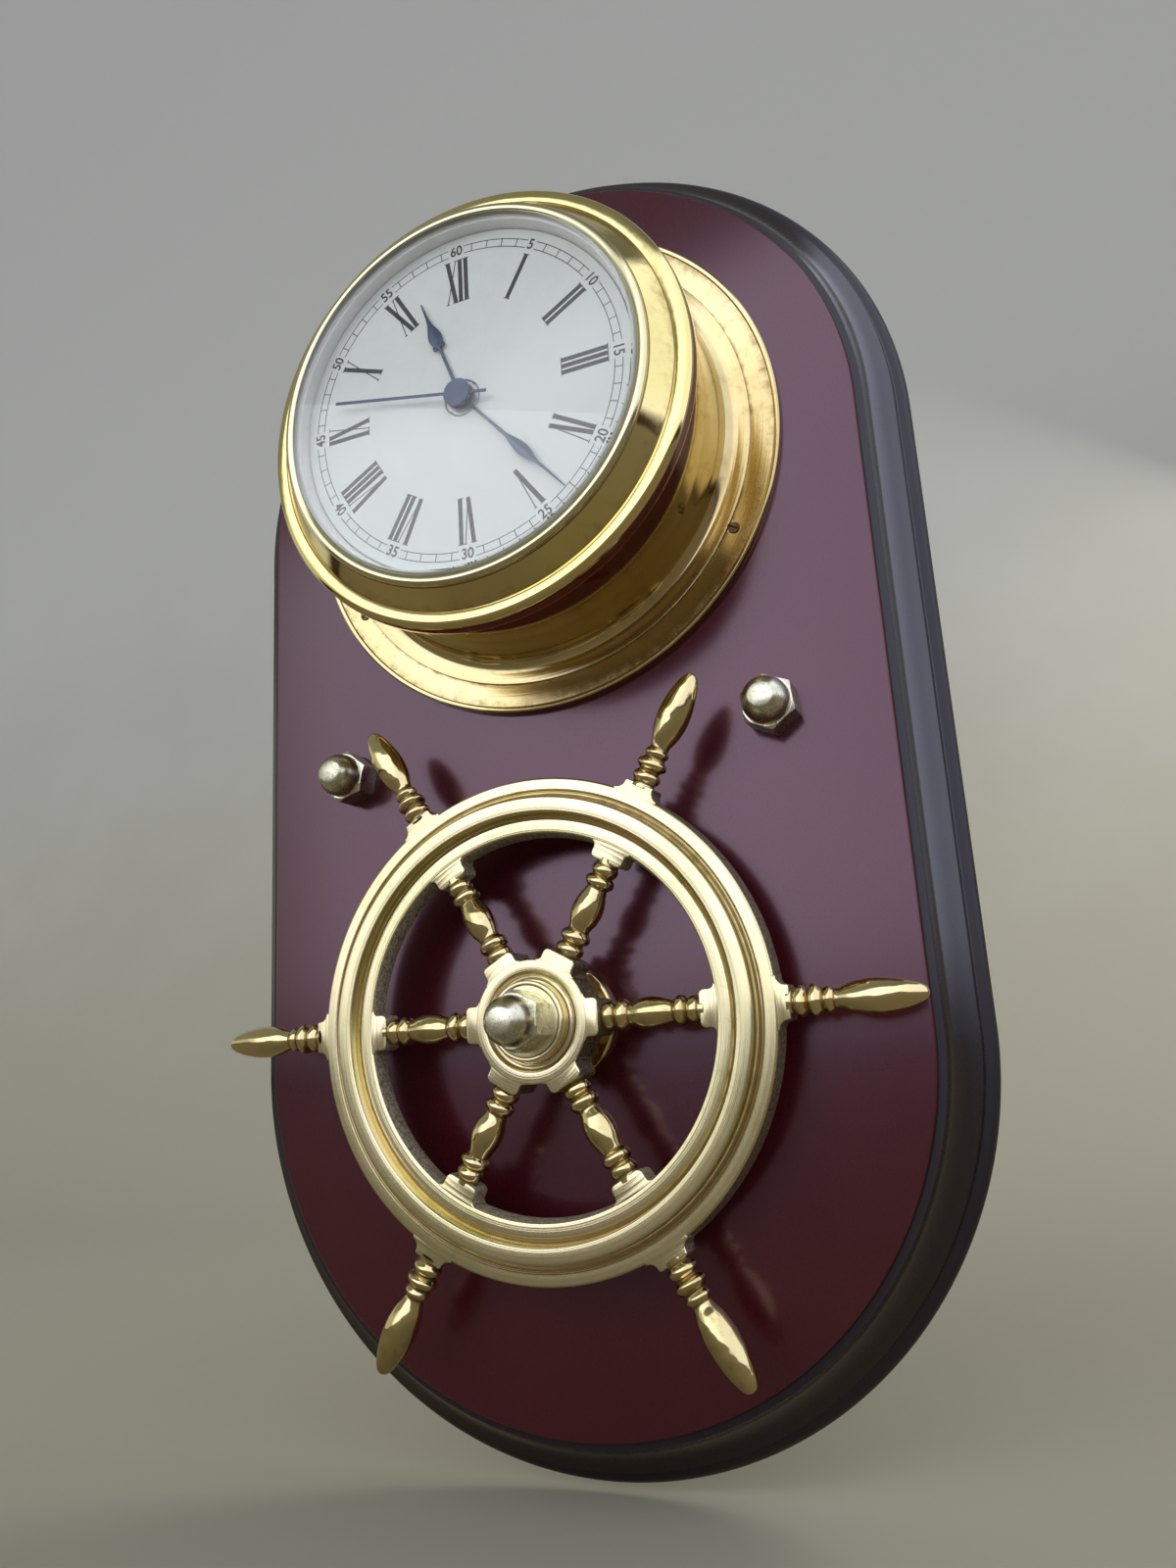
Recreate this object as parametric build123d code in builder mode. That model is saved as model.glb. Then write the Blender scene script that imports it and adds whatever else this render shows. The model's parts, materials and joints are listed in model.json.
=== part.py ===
from build123d import *

import os
from math import cos, radians, sin, sqrt, tan

# Ship's deck clock: a quartz bulkhead clock and a ship's wheel on a moulded wall board.
#
# Millimetres. +Z is up the board, -Y points out of the wall, and the origin is the middle of the board's back.
# Heights are distances in front of the wall, so a point at height h has y = -h.

os.makedirs("parts", exist_ok=True)

# ---------------------------------------------------------------- driving dimensions

# board
board_width = 258.0
board_height = 458.0
board_thickness = 22.0
edge_width = 15.7  # from the face's border out to the widest bead
border_drop = 2.4  # the little cliff round the face
quirk_width = 2.6  # the flat at the foot of the cliff
cove_width = 8.8
cove_drop = 9.4
bead_radius = 3.6
keyhole_from_top = 47.0
keyhole_head = 9.6  # diameter that a wall screw's head enters by
keyhole_neck = 4.8
keyhole_rise = 13.0
keyhole_depth = 11.0
keyhole_lip = 4.0

# places on the board
clock_from_top = 126.5
wheel_from_bottom = 137.5
side_nut_x = 77.5
side_nut_z = -0.5

# M10 fittings
bolt_radius = 5.0
bolt_hole_clearance = 0.25
nut_flats = 16.0
nut_hex_height = 8.0
nut_dome_radius = 7.9
nut_height = 18.0
nut_thread_depth = 13.0
nut_chamfer_angle = 30.0
nut_dome_angles = (0, 24, 48, 70)  # of the dome's outline points over its centre
head_height = 6.4
counterbore_radius = 13.0
counterbore_depth = 10.0

# clock case
flange_radius = 90.0
flange_thickness = 3.0
flange_roll = 0.7
flange_roll_width = 2.0
plinth_radius = 80.3  # the low ring round the drum's foot
plinth_step = 1.0
cove_foot_radius = 76.2
cove_height = 5.2
drum_radius = 71.5
drum_wall = 2.2
drum_height = 44.0  # the shoulder that the bezel seats on, over the board's face
spigot_radius = 66.4
spigot_base = 2.4
seat_radius = 57.5
dial_height = 50.4  # the dial's face, over the board's face
dial_thickness = 1.0
screw_circle_radius = 82.0
screw_count = 3
screw_first_angle = 90.0
screw_shank_radius = 1.1
screw_head_radius = 1.8
screw_head_height = 1.1
screw_bite = 9.0  # depth of the screws in the board
screw_slot_width = 0.6
screw_recess = 0.6
access_hole_radius = 42.0

# bezel and glass
bezel_clearance = 0.1
bezel_radius = 75.4
bezel_rear_radius = 74.7
bezel_bead_height = 3.0  # of the widest place, over the rear face
bezel_brow_radius = 73.8
bezel_brow_height = 5.4
bezel_waist_radius = 70.2
bezel_waist_height = 6.7
lip_radius = 61.2
lip_width = 3.4
lip_crest = 1.7  # over the glass's edge
lip_inner_rise = 0.35
lip_root_drop = 0.3
glass_thickness = 3.2
glass_edge_thickness = 0.6
glass_bevel_width = 7.2
glass_overlap = 2.0  # how far the lip covers the glass
glass_gap = 6.6  # from the dial up to the glass
reflector_radius = 58.6
reflector_flare = 1.5

# quartz movement
movement_width = 56.0
movement_above = 27.0  # from the hands' axis to the housing's top
movement_below = 30.0
movement_depth = 16.0
movement_wall = 1.5
movement_corner = 4.0
cover_thickness = 1.5
bush_radius = 4.9
bush_rise = 2.6  # over the dial
dial_hole_clearance = 0.2
dial_nut_radius = 6.0
dial_nut_thickness = 1.8
running_gap = 0.05  # radial, round every turning shaft
end_gap = 0.15  # along every turning shaft

# hands, angles clockwise from 12 at rest
hour_angle = 340.5
minute_angle = 139.8
second_angle = 282.0
hand_thickness = 0.35
hour_hand_length = 40.0
hour_hand_height = 2.9  # over the dial
hour_shank = 1.3
hour_spade = (21.0, 26.5, 33.0, 4.6)  # start, widest place, end and width
minute_hand_length = 53.5
minute_hand_height = 4.0
minute_shank = 1.2
minute_spade = (23.0, 31.0, 41.0, 3.2)
second_hand_length = 46.5
second_hand_tail = 10.5
second_hand_height = 5.0
second_hand_width = 0.9
hand_collar = 1.3
cap_radius = 4.6
cap_thickness = 0.5
hour_tube_radius = 3.4
minute_tube_radius = 2.4
second_arbor_radius = 0.55

# motion work: teeth, module, and each layer's height under the housing's front plate
motion_module = 0.7
cannon_teeth = 10
motion_teeth = 30
motion_pinion_teeth = 8
hour_teeth = 32
motion_angle = 45.0
setting_teeth = 10
setting_angle = 143.2  # of the setting arbor, seen from the motion wheel's stud
wheel_thickness = 1.0
layer_pitch = 1.9
first_layer = 0.7
tooth_addendum = 0.85
tooth_dedendum = 1.15
tooth_tip_share = 0.09
tooth_root_share = 0.28
stud_radius = 0.8
stud_tail = 0.4
setting_arbor_radius = 1.2
setting_knob_radius = 6.0
setting_knob_height = 3.2
setting_knob_sides = 16

# battery and electrics
battery_radius = 7.25
battery_length = 50.5
battery_clearance = 0.35
bay_wall = 1.2
contact_width = 9.0
circuit_width = 11.0
circuit_height = 33.0
circuit_thickness = 1.0
circuit_x = -20.0
circuit_rise = 5.0  # of the circuit's middle over the hands' axis
coil_radius = 3.2
coil_length = 20.0
bobbin_width = 7.6
bobbin_thickness = 1.0

# ship's wheel
rim_radius = 75.0
rim_thickness = 8.0
rim_draft = 1.4
opening_radius = 57.6
band_radius = 68.6
band_inner_radius = 63.8
band_rise = 3.0
rim_cove_width = 3.0
rim_cove_depth = 0.8
wheel_gap = 14.8  # from the board's face to the back of the rim
spoke_axis_rise = 4.8  # of the spokes' axes over the rim's back
spoke_count = 6
outer_tab_radius = 78.6
outer_tab_width = 9.6
inner_tab_radius = 52.4
inner_tab_width = 11.0
tab_chamfer = 1.8
tab_root = 3.0
hub_radius = 18.5
hub_rear_drop = 1.8  # the hub's back stands this far behind the rim's
hub_front_rise = 2.2
lobe_radius = 21.9
lobe_width = 10.6
hub_groove_inner = 12.4
hub_groove_outer = 15.0
hub_groove_depth = 1.6
hub_bush_wall = 2.0
hub_disc_radius = 12.0
hub_disc_thickness = 3.0
handle_tip_radius = 116.0
turning_neck = 3.1
bead_outer = 4.6
bead_pitch = 4.1
spoke_barrel = 4.7
bead_taper = 0.8
grip_radius = 5.0
grip_tip = 1.2

# turned post behind the wheel
post_foot_radius = 18.0
post_foot_height = 2.6
post_waist_radius = 9.0
post_waist_height = 7.4
post_collar_radius = 11.6
post_collar_height = 3.0

# ---------------------------------------------------------------- derived places and heights

clock_z = board_height / 2 - clock_from_top
wheel_z = wheel_from_bottom - board_height / 2
keyhole_z = board_height / 2 - keyhole_from_top
face = board_thickness
case_shoulder = face + drum_height
dial_front = face + dial_height
dial_back = dial_front - dial_thickness
glass_back = dial_front + glass_gap
glass_front = glass_back + glass_thickness
glass_edge_front = glass_back + glass_edge_thickness
movement_front = dial_back
plate_back = movement_front - movement_wall
movement_rear = movement_front - movement_depth
cover_front = movement_rear + cover_thickness
hour_seat = dial_front + hour_hand_height
minute_seat = dial_front + minute_hand_height
second_seat = dial_front + second_hand_height
rim_back = face + wheel_gap
rim_front = rim_back + rim_thickness
hub_back = rim_back - hub_rear_drop
hub_front = rim_front + hub_front_rise
spoke_height = rim_back + spoke_axis_rise
post_top = hub_back - end_gap
disc_back = hub_front + end_gap
disc_front = disc_back + hub_disc_thickness
bolt_hole_radius = bolt_radius + bolt_hole_clearance
bush_outer = bolt_radius + running_gap + hub_bush_wall


def front_plane(height, x=0.0, z=0.0):
    """A plane parallel to the wall at this height, facing the viewer."""
    return Plane(origin=(x, -height, z), x_dir=(1, 0, 0), z_dir=(0, -1, 0))


def turning_plane(z, x=0.0):
    """A plane through a turned piece's axis: sketch x is the radius, sketch y the height."""
    return Plane(origin=(x, 0, z), x_dir=(1, 0, 0), z_dir=(0, 0, -1))


def turning_axis(z, x=0.0):
    """The axis that a turned piece is revolved about."""
    return Axis((x, 0, z), (0, -1, 0))


def polar(radius, degrees):
    """A point on a circle, angles anticlockwise from +X as the viewer sees them."""
    return (radius * cos(radians(degrees)), radius * sin(radians(degrees)))


def save(piece, label):
    """Label a finished piece and write it as its own STEP file."""
    piece.part.label = label
    export_step(piece.part, f"parts/{label}.step")


# ---------------------------------------------------------------- board

half_width = board_width / 2
end_centre = board_height / 2 - half_width
face_half_width = half_width - edge_width
quirk_height = face - border_drop
quirk_end = face_half_width + quirk_width
bead_shoulder = half_width - bead_radius * 0.5

with BuildSketch(turning_plane(end_centre)) as edge_section:
    with BuildLine():
        front = Line((0, face), (face_half_width, face))
        cliff = Line(front @ 1, (face_half_width + border_drop / 4, quirk_height))
        quirk = Line(cliff @ 1, (quirk_end, quirk_height))
        cove = Polyline(
            quirk @ 1,
            (quirk_end + cove_width * 0.2, quirk_height - cove_drop * 0.45),
            (quirk_end + cove_width * 0.55, quirk_height - cove_drop * 0.82),
            (quirk_end + cove_width, quirk_height - cove_drop),
        )
        Polyline(
            cove @ 1,
            (bead_shoulder, 2 * bead_radius),
            (half_width, bead_radius * 1.4),
            (half_width, bead_radius * 0.6),
            (bead_shoulder, 0),
            (0, 0),
            front @ 0,
        )
    make_face()

# the half-round top and the right-hand straight; the rest is the same turned half round
with BuildPart() as board_half:
    revolve(edge_section.sketch, axis=turning_axis(end_centre), revolution_arc=180)
    extrude(edge_section.sketch, amount=2 * end_centre)

with BuildPart() as plaque_board:
    add(board_half.part)
    add(board_half.part.rotate(Axis.Y, 180))
    with Locations(front_plane(0, z=clock_z)):
        Cylinder(access_hole_radius, 3 * board_thickness, mode=Mode.SUBTRACT)
    with Locations(
        front_plane(0, -side_nut_x, side_nut_z),
        front_plane(0, side_nut_x, side_nut_z),
        front_plane(0, z=wheel_z),
    ):
        Cylinder(bolt_hole_radius, 3 * board_thickness, mode=Mode.SUBTRACT)
        Cylinder(counterbore_radius, 2 * counterbore_depth, mode=Mode.SUBTRACT)
    with Locations(front_plane(face, z=clock_z)):
        with PolarLocations(screw_circle_radius, screw_count, start_angle=screw_first_angle):
            Cylinder(screw_shank_radius, 2 * screw_bite, mode=Mode.SUBTRACT)
    with BuildSketch(front_plane(0, z=keyhole_z)):
        Circle(keyhole_head / 2)
        with Locations((0, keyhole_rise / 2)):
            SlotCenterToCenter(keyhole_rise, keyhole_neck, rotation=90)
    extrude(amount=keyhole_depth, mode=Mode.SUBTRACT)
    with BuildSketch(front_plane(keyhole_lip, z=keyhole_z)):
        with Locations((0, keyhole_rise / 2)):
            SlotCenterToCenter(keyhole_rise, keyhole_head, rotation=90)
    extrude(amount=keyhole_depth - keyhole_lip, mode=Mode.SUBTRACT)
save(plaque_board, "plaque_board")

# ---------------------------------------------------------------- bolts, washers and dome nuts

nut_corner = nut_flats / sqrt(3)
corner_fall = (nut_corner - nut_flats / 2) * tan(radians(nut_chamfer_angle))
dome_centre = nut_height - nut_dome_radius


def dome_point(degrees):
    """A point of the dome's outline, by its angle above the dome's centre."""
    radius, rise = polar(nut_dome_radius, degrees)
    return (radius, dome_centre + rise)


# one domed cap nut standing on the origin, its blind thread bored from below
with BuildPart() as dome_nut:
    with BuildSketch():
        RegularPolygon(nut_flats / 2, 6, major_radius=False)
    extrude(amount=nut_hex_height)
    with BuildSketch(Plane.XZ):
        with BuildLine():
            Polyline(
                (nut_flats / 2, nut_hex_height),
                (nut_corner, nut_hex_height - corner_fall),
                (nut_corner + 1, nut_hex_height - corner_fall),
                (nut_corner + 1, nut_hex_height + 1),
                (nut_flats / 2, nut_hex_height + 1),
                close=True,
            )
        make_face()
    revolve(axis=Axis.Z, mode=Mode.SUBTRACT)
    with BuildSketch(Plane.XZ):
        with BuildLine():
            Polyline(
                (0, nut_hex_height - 1),
                (nut_dome_radius, nut_hex_height - 1),
                *[dome_point(angle) for angle in nut_dome_angles],
                (0, nut_height),
                close=True,
            )
        make_face()
    revolve(axis=Axis.Z)
    with BuildSketch():
        Circle(bolt_radius)
    extrude(amount=nut_thread_depth, mode=Mode.SUBTRACT)

# one hexagon-headed bolt, its head's front on the origin
with BuildPart() as hex_head:
    with BuildSketch():
        RegularPolygon(nut_flats / 2, 6, major_radius=False)
    extrude(amount=-head_height)

with BuildPart() as dome_nuts:
    with Locations(
        front_plane(face, -side_nut_x, side_nut_z),
        front_plane(face, side_nut_x, side_nut_z),
        front_plane(disc_front, z=wheel_z),
    ):
        add(dome_nut.part)
save(dome_nuts, "dome_nuts")

with BuildPart() as side_bolts:
    for side in (-1, 1):
        with Locations(front_plane(counterbore_depth, side * side_nut_x, side_nut_z)):
            add(hex_head.part)
        with BuildSketch(front_plane(counterbore_depth, side * side_nut_x, side_nut_z)):
            Circle(bolt_radius)
        extrude(amount=face + nut_thread_depth - counterbore_depth)
save(side_bolts, "side_bolts")

with BuildPart() as wheel_spindle:
    with Locations(front_plane(counterbore_depth, z=wheel_z)):
        add(hex_head.part)
    with BuildSketch(front_plane(counterbore_depth, z=wheel_z)):
        Circle(bolt_radius)
    extrude(amount=disc_front + nut_thread_depth - counterbore_depth)
save(wheel_spindle, "wheel_spindle")

# ---------------------------------------------------------------- wheel post and hub disc

with BuildPart() as wheel_post:
    with BuildSketch(turning_plane(wheel_z)):
        with BuildLine():
            Polyline(
                (bolt_radius, face),
                (post_foot_radius, face),
                (post_foot_radius, face + post_foot_height),
                (post_foot_radius - post_foot_height, face + post_foot_height),
                (post_waist_radius, face + post_waist_height),
                (post_waist_radius, post_top - post_collar_height),
                (post_collar_radius, post_top - post_collar_height / 2),
                (post_waist_radius, post_top),
                (bolt_radius, post_top),
                close=True,
            )
        make_face()
    revolve(axis=turning_axis(wheel_z))
save(wheel_post, "wheel_post")

with BuildPart() as hub_disc:
    with BuildSketch(front_plane(disc_back, z=wheel_z)):
        Circle(hub_disc_radius)
        Circle(bolt_hole_radius, mode=Mode.SUBTRACT)
    extrude(amount=hub_disc_thickness)
save(hub_disc, "hub_disc")

# ---------------------------------------------------------------- ship's wheel


def bead(middle, outer):
    """The outline points of one turned bead, from its crown to the neck beyond it."""
    return [(middle, outer), (middle + bead_pitch / 2, turning_neck)]


spoke_root = lobe_radius - 1
spoke_end = inner_tab_radius + 1
barrel_low = lobe_radius + 2 * bead_pitch
barrel_high = inner_tab_radius - 2 * bead_pitch
handle_root = outer_tab_radius - 1
grip_start = outer_tab_radius + 3.1 * bead_pitch
grip_length = handle_tip_radius - grip_start

# one spoke and the handle beyond it, turned about +X, with the rim's two tabs that carry them
with BuildPart() as spoke_arm:
    with BuildSketch():
        with BuildLine():
            Polyline(
                (spoke_root, 0),
                (spoke_root, turning_neck),
                (lobe_radius, turning_neck),
                *bead(lobe_radius + bead_pitch / 2, bead_outer),
                *bead(lobe_radius + bead_pitch * 1.5, bead_outer),
                ((barrel_low + barrel_high) / 2, spoke_barrel),
                (barrel_high, turning_neck),
                *bead(inner_tab_radius - bead_pitch * 1.5, bead_outer),
                *bead(inner_tab_radius - bead_pitch / 2, bead_outer),
                (spoke_end, turning_neck),
                (spoke_end, 0),
                close=True,
            )
        make_face()
        with BuildLine():
            Polyline(
                (handle_root, 0),
                (handle_root, turning_neck),
                (outer_tab_radius + bead_pitch * 0.1, turning_neck),
                *bead(outer_tab_radius + bead_pitch * 0.6, bead_outer),
                *bead(outer_tab_radius + bead_pitch * 1.6, bead_outer),
                *bead(outer_tab_radius + bead_pitch * 2.6, bead_outer - bead_taper),
                (grip_start + grip_length * 0.4, grip_radius),
                (handle_tip_radius - grip_tip, grip_radius * 0.5),
                (handle_tip_radius, grip_tip),
                (handle_tip_radius, 0),
                close=True,
            )
        make_face()
    revolve(axis=Axis.X)
    with BuildSketch(Plane.XY.offset(-spoke_axis_rise)):
        with BuildLine():
            Polyline(
                (rim_radius - tab_root, -outer_tab_width / 2),
                (outer_tab_radius - tab_chamfer, -outer_tab_width / 2),
                (outer_tab_radius, tab_chamfer - outer_tab_width / 2),
                (outer_tab_radius, outer_tab_width / 2 - tab_chamfer),
                (outer_tab_radius - tab_chamfer, outer_tab_width / 2),
                (rim_radius - tab_root, outer_tab_width / 2),
                close=True,
            )
        make_face()
        with BuildLine():
            Polyline(
                (opening_radius + tab_root, -inner_tab_width / 2),
                (inner_tab_radius + tab_chamfer, -inner_tab_width / 2),
                (inner_tab_radius, tab_chamfer - inner_tab_width / 2),
                (inner_tab_radius, inner_tab_width / 2 - tab_chamfer),
                (inner_tab_radius + tab_chamfer, inner_tab_width / 2),
                (opening_radius + tab_root, inner_tab_width / 2),
                close=True,
            )
        make_face()
    extrude(amount=rim_thickness)


with BuildPart() as wheel_casting:
    with BuildSketch(turning_plane(wheel_z)):
        with BuildLine():
            inner_root = opening_radius - rim_draft
            back = Line((inner_root, rim_back), (rim_radius + rim_draft / 2, rim_back))
            outside = Polyline(
                back @ 1,
                (rim_radius, rim_front - rim_cove_depth),
                (rim_radius - rim_cove_depth, rim_front),
                (band_radius + rim_cove_width, rim_front),
            )
            outer_cove = Polyline(
                outside @ 1,
                (band_radius + rim_cove_width / 2, rim_front - rim_cove_depth),
                (band_radius, rim_front),
            )
            band = Polyline(
                outer_cove @ 1,
                (band_radius, rim_front + band_rise),
                (band_inner_radius, rim_front + band_rise),
                (band_inner_radius, rim_front),
            )
            inner_cove = Polyline(
                band @ 1,
                (band_inner_radius - rim_cove_width / 2, rim_front - rim_cove_depth),
                (band_inner_radius - rim_cove_width, rim_front),
            )
            Polyline(inner_cove @ 1, (opening_radius, rim_front), back @ 0)
        make_face()
    revolve(axis=turning_axis(wheel_z))
    with BuildSketch(front_plane(hub_back, z=wheel_z)):
        Circle(hub_radius)
        with PolarLocations(0, spoke_count):
            Rectangle(lobe_radius, lobe_width, align=(Align.MIN, Align.CENTER))
    extrude(amount=hub_front - hub_back)
    with Locations(front_plane(spoke_height, z=wheel_z)):
        with PolarLocations(0, spoke_count):
            add(spoke_arm.part)
    with BuildSketch(turning_plane(wheel_z)):
        with BuildLine():
            Polyline(
                (hub_groove_inner, hub_front),
                (hub_groove_inner, hub_front - hub_groove_depth),
                (hub_groove_outer, hub_front),
                close=True,
            )
        make_face()
    revolve(axis=turning_axis(wheel_z), mode=Mode.SUBTRACT)
    with Locations(front_plane(hub_front, z=wheel_z)):
        Cylinder(bush_outer, 3 * (hub_front - hub_back), mode=Mode.SUBTRACT)
save(wheel_casting, "wheel_casting")

with BuildPart() as hub_bush:
    with BuildSketch(front_plane(hub_back, z=wheel_z)):
        Circle(bush_outer)
        Circle(bolt_radius + running_gap, mode=Mode.SUBTRACT)
    extrude(amount=hub_front - hub_back)
save(hub_bush, "hub_bush")

# ---------------------------------------------------------------- clock case and screws

flange_top = face + flange_thickness
plinth_top = flange_top + plinth_step
head_low = flange_top - screw_recess
cove_run = cove_foot_radius - drum_radius

with BuildPart() as clock_case:
    with BuildSketch(turning_plane(clock_z)):
        with BuildLine():
            underside = Line((drum_radius - drum_wall, face), (flange_radius, face))
            rolled = Polyline(
                underside @ 1,
                (flange_radius, flange_top),
                (flange_radius - flange_roll_width / 2, flange_top + flange_roll),
                (flange_radius - flange_roll_width, flange_top),
                (plinth_radius, flange_top),
                (plinth_radius, plinth_top),
                (cove_foot_radius, plinth_top),
            )
            Polyline(
                rolled @ 1,
                (drum_radius + cove_run / 3, plinth_top + cove_height / 3),
                (drum_radius, plinth_top + cove_height),
                (drum_radius, case_shoulder),
                (spigot_radius, case_shoulder),
                (spigot_radius, dial_back),
                (seat_radius, dial_back),
                (seat_radius, case_shoulder - spigot_base),
                (drum_radius - drum_wall, case_shoulder - spigot_base),
                underside @ 0,
            )
        make_face()
    revolve(axis=turning_axis(clock_z))
    with Locations(front_plane(flange_top, z=clock_z)):
        with PolarLocations(screw_circle_radius, screw_count, start_angle=screw_first_angle):
            Cylinder(screw_shank_radius, 3 * flange_thickness, mode=Mode.SUBTRACT)
            Cylinder(screw_head_radius, 2 * screw_recess, mode=Mode.SUBTRACT)
save(clock_case, "clock_case")

with BuildPart() as flange_screws:
    with Locations(front_plane(head_low, z=clock_z)):
        with PolarLocations(screw_circle_radius, screw_count, start_angle=screw_first_angle):
            Cylinder(
                screw_shank_radius,
                screw_bite + head_low - face,
                align=(Align.CENTER, Align.CENTER, Align.MAX),
            )
            Cylinder(
                screw_head_radius,
                screw_head_height,
                align=(Align.CENTER, Align.CENTER, Align.MIN),
            )
    with Locations(front_plane(head_low + screw_head_height, z=clock_z)):
        with PolarLocations(screw_circle_radius, screw_count, start_angle=screw_first_angle):
            Box(3 * screw_head_radius, screw_slot_width, screw_head_height, mode=Mode.SUBTRACT)
save(flange_screws, "flange_screws")

# ---------------------------------------------------------------- dial, reflector, bezel and glass

glass_radius = lip_radius + glass_overlap
pocket_radius = glass_radius + bezel_clearance
dial_radius = glass_radius
bezel_bore = spigot_radius + bezel_clearance
bezel_seat = case_shoulder + running_gap
ledge_height = dial_back + end_gap
bevel_slope = (glass_thickness - glass_edge_thickness) / glass_bevel_width
lip_back = glass_edge_front + running_gap
lip_inner_back = lip_back + bevel_slope * (pocket_radius - lip_radius)

with BuildPart() as dial_plate:
    with BuildSketch(front_plane(dial_back, z=clock_z)):
        Circle(dial_radius)
        Circle(bush_radius + dial_hole_clearance, mode=Mode.SUBTRACT)
    extrude(amount=dial_thickness)
save(dial_plate, "dial_plate")

with BuildPart() as reflector_ring:
    with BuildSketch(turning_plane(clock_z)):
        with BuildLine():
            Polyline(
                (reflector_radius, dial_front),
                (reflector_radius + reflector_flare, dial_front),
                (reflector_radius + reflector_flare, glass_back - end_gap),
                close=True,
            )
        make_face()
    revolve(axis=turning_axis(clock_z))
save(reflector_ring, "reflector_ring")

with BuildPart() as dial_glass:
    with BuildSketch(turning_plane(clock_z)):
        with BuildLine():
            Polyline(
                (0, glass_back),
                (glass_radius, glass_back),
                (glass_radius, glass_edge_front),
                (glass_radius - glass_bevel_width, glass_front),
                (0, glass_front),
                close=True,
            )
        make_face()
    revolve(axis=turning_axis(clock_z))
save(dial_glass, "dial_glass")

with BuildPart() as bezel_ring:
    with BuildSketch(turning_plane(clock_z)):
        with BuildLine():
            Polyline(
                (bezel_bore, bezel_seat),
                (bezel_rear_radius, bezel_seat),
                (bezel_radius, bezel_seat + bezel_bead_height),
                (bezel_brow_radius, bezel_seat + bezel_brow_height),
                (bezel_waist_radius, bezel_seat + bezel_waist_height),
                (lip_radius + lip_width, lip_back - lip_root_drop),
                (lip_radius + lip_width / 2, lip_back + lip_crest),
                (lip_radius, lip_inner_back + lip_inner_rise),
                (lip_radius, lip_inner_back),
                (pocket_radius, lip_back),
                (pocket_radius, ledge_height),
                (bezel_bore, ledge_height),
                close=True,
            )
        make_face()
    revolve(axis=turning_axis(clock_z))
save(bezel_ring, "bezel_ring")

# ---------------------------------------------------------------- quartz movement housing

housing_z = clock_z + (movement_above - movement_below) / 2
housing_height = movement_above + movement_below
floor_z = clock_z - movement_below + movement_wall
bay_height = 2 * (battery_radius + battery_clearance)
bay_z = floor_z + bay_height / 2
battery_height = plate_back - battery_radius
motion_distance = motion_module * (cannon_teeth + motion_teeth) / 2
setting_distance = motion_module * (setting_teeth + motion_teeth) / 2
motion_offset = polar(motion_distance, motion_angle)
setting_offset = polar(setting_distance, setting_angle)
motion_place = (motion_offset[0], clock_z + motion_offset[1])
setting_place = (motion_place[0] + setting_offset[0], motion_place[1] + setting_offset[1])
hour_layer = plate_back - first_layer - wheel_thickness
motion_layer = hour_layer - layer_pitch
chamber_width = movement_width - 2 * movement_wall

with BuildPart() as movement_case:
    with BuildSketch(front_plane(cover_front, z=housing_z)):
        RectangleRounded(movement_width, housing_height, movement_corner)
    extrude(amount=movement_front - cover_front)
    with BuildSketch(front_plane(cover_front, z=housing_z)):
        RectangleRounded(
            chamber_width,
            housing_height - 2 * movement_wall,
            movement_corner - movement_wall,
        )
    extrude(amount=plate_back - cover_front, mode=Mode.SUBTRACT)
    with BuildSketch(front_plane(cover_front, z=floor_z + bay_height)):
        Rectangle(chamber_width, bay_wall, align=(Align.CENTER, Align.MIN))
    extrude(amount=plate_back - cover_front)
    with BuildSketch(front_plane(motion_layer - stud_tail, *motion_place)):
        Circle(stud_radius)
    extrude(amount=plate_back - motion_layer + stud_tail)
    with BuildSketch(front_plane(plate_back, z=clock_z)):
        Circle(bush_radius)
    extrude(amount=movement_wall, mode=Mode.SUBTRACT)
save(movement_case, "movement_case")

with BuildPart() as movement_cover:
    with BuildSketch(front_plane(movement_rear, z=housing_z)):
        RectangleRounded(movement_width, housing_height, movement_corner)
    extrude(amount=cover_thickness)
    with BuildSketch(front_plane(movement_rear, z=bay_z)):
        Rectangle(chamber_width, bay_height)
    extrude(amount=cover_thickness, mode=Mode.SUBTRACT)
    with BuildSketch(front_plane(movement_rear, *setting_place)):
        Circle(setting_arbor_radius + running_gap)
    extrude(amount=cover_thickness, mode=Mode.SUBTRACT)
    with BuildSketch(front_plane(movement_rear, z=clock_z)):
        Circle(second_arbor_radius + running_gap)
    extrude(amount=cover_thickness, mode=Mode.SUBTRACT)
save(movement_cover, "movement_cover")

with BuildPart() as movement_bush:
    with BuildSketch(front_plane(plate_back, z=clock_z)):
        Circle(bush_radius)
        Circle(hour_tube_radius + running_gap, mode=Mode.SUBTRACT)
    extrude(amount=dial_front + bush_rise - plate_back)
save(movement_bush, "movement_bush")

with BuildPart() as dial_nut:
    with BuildSketch(front_plane(dial_front, z=clock_z)):
        RegularPolygon(dial_nut_radius, 6, major_radius=False)
        Circle(bush_radius, mode=Mode.SUBTRACT)
    extrude(amount=dial_nut_thickness)
save(dial_nut, "dial_nut")

# ---------------------------------------------------------------- motion work


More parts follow.
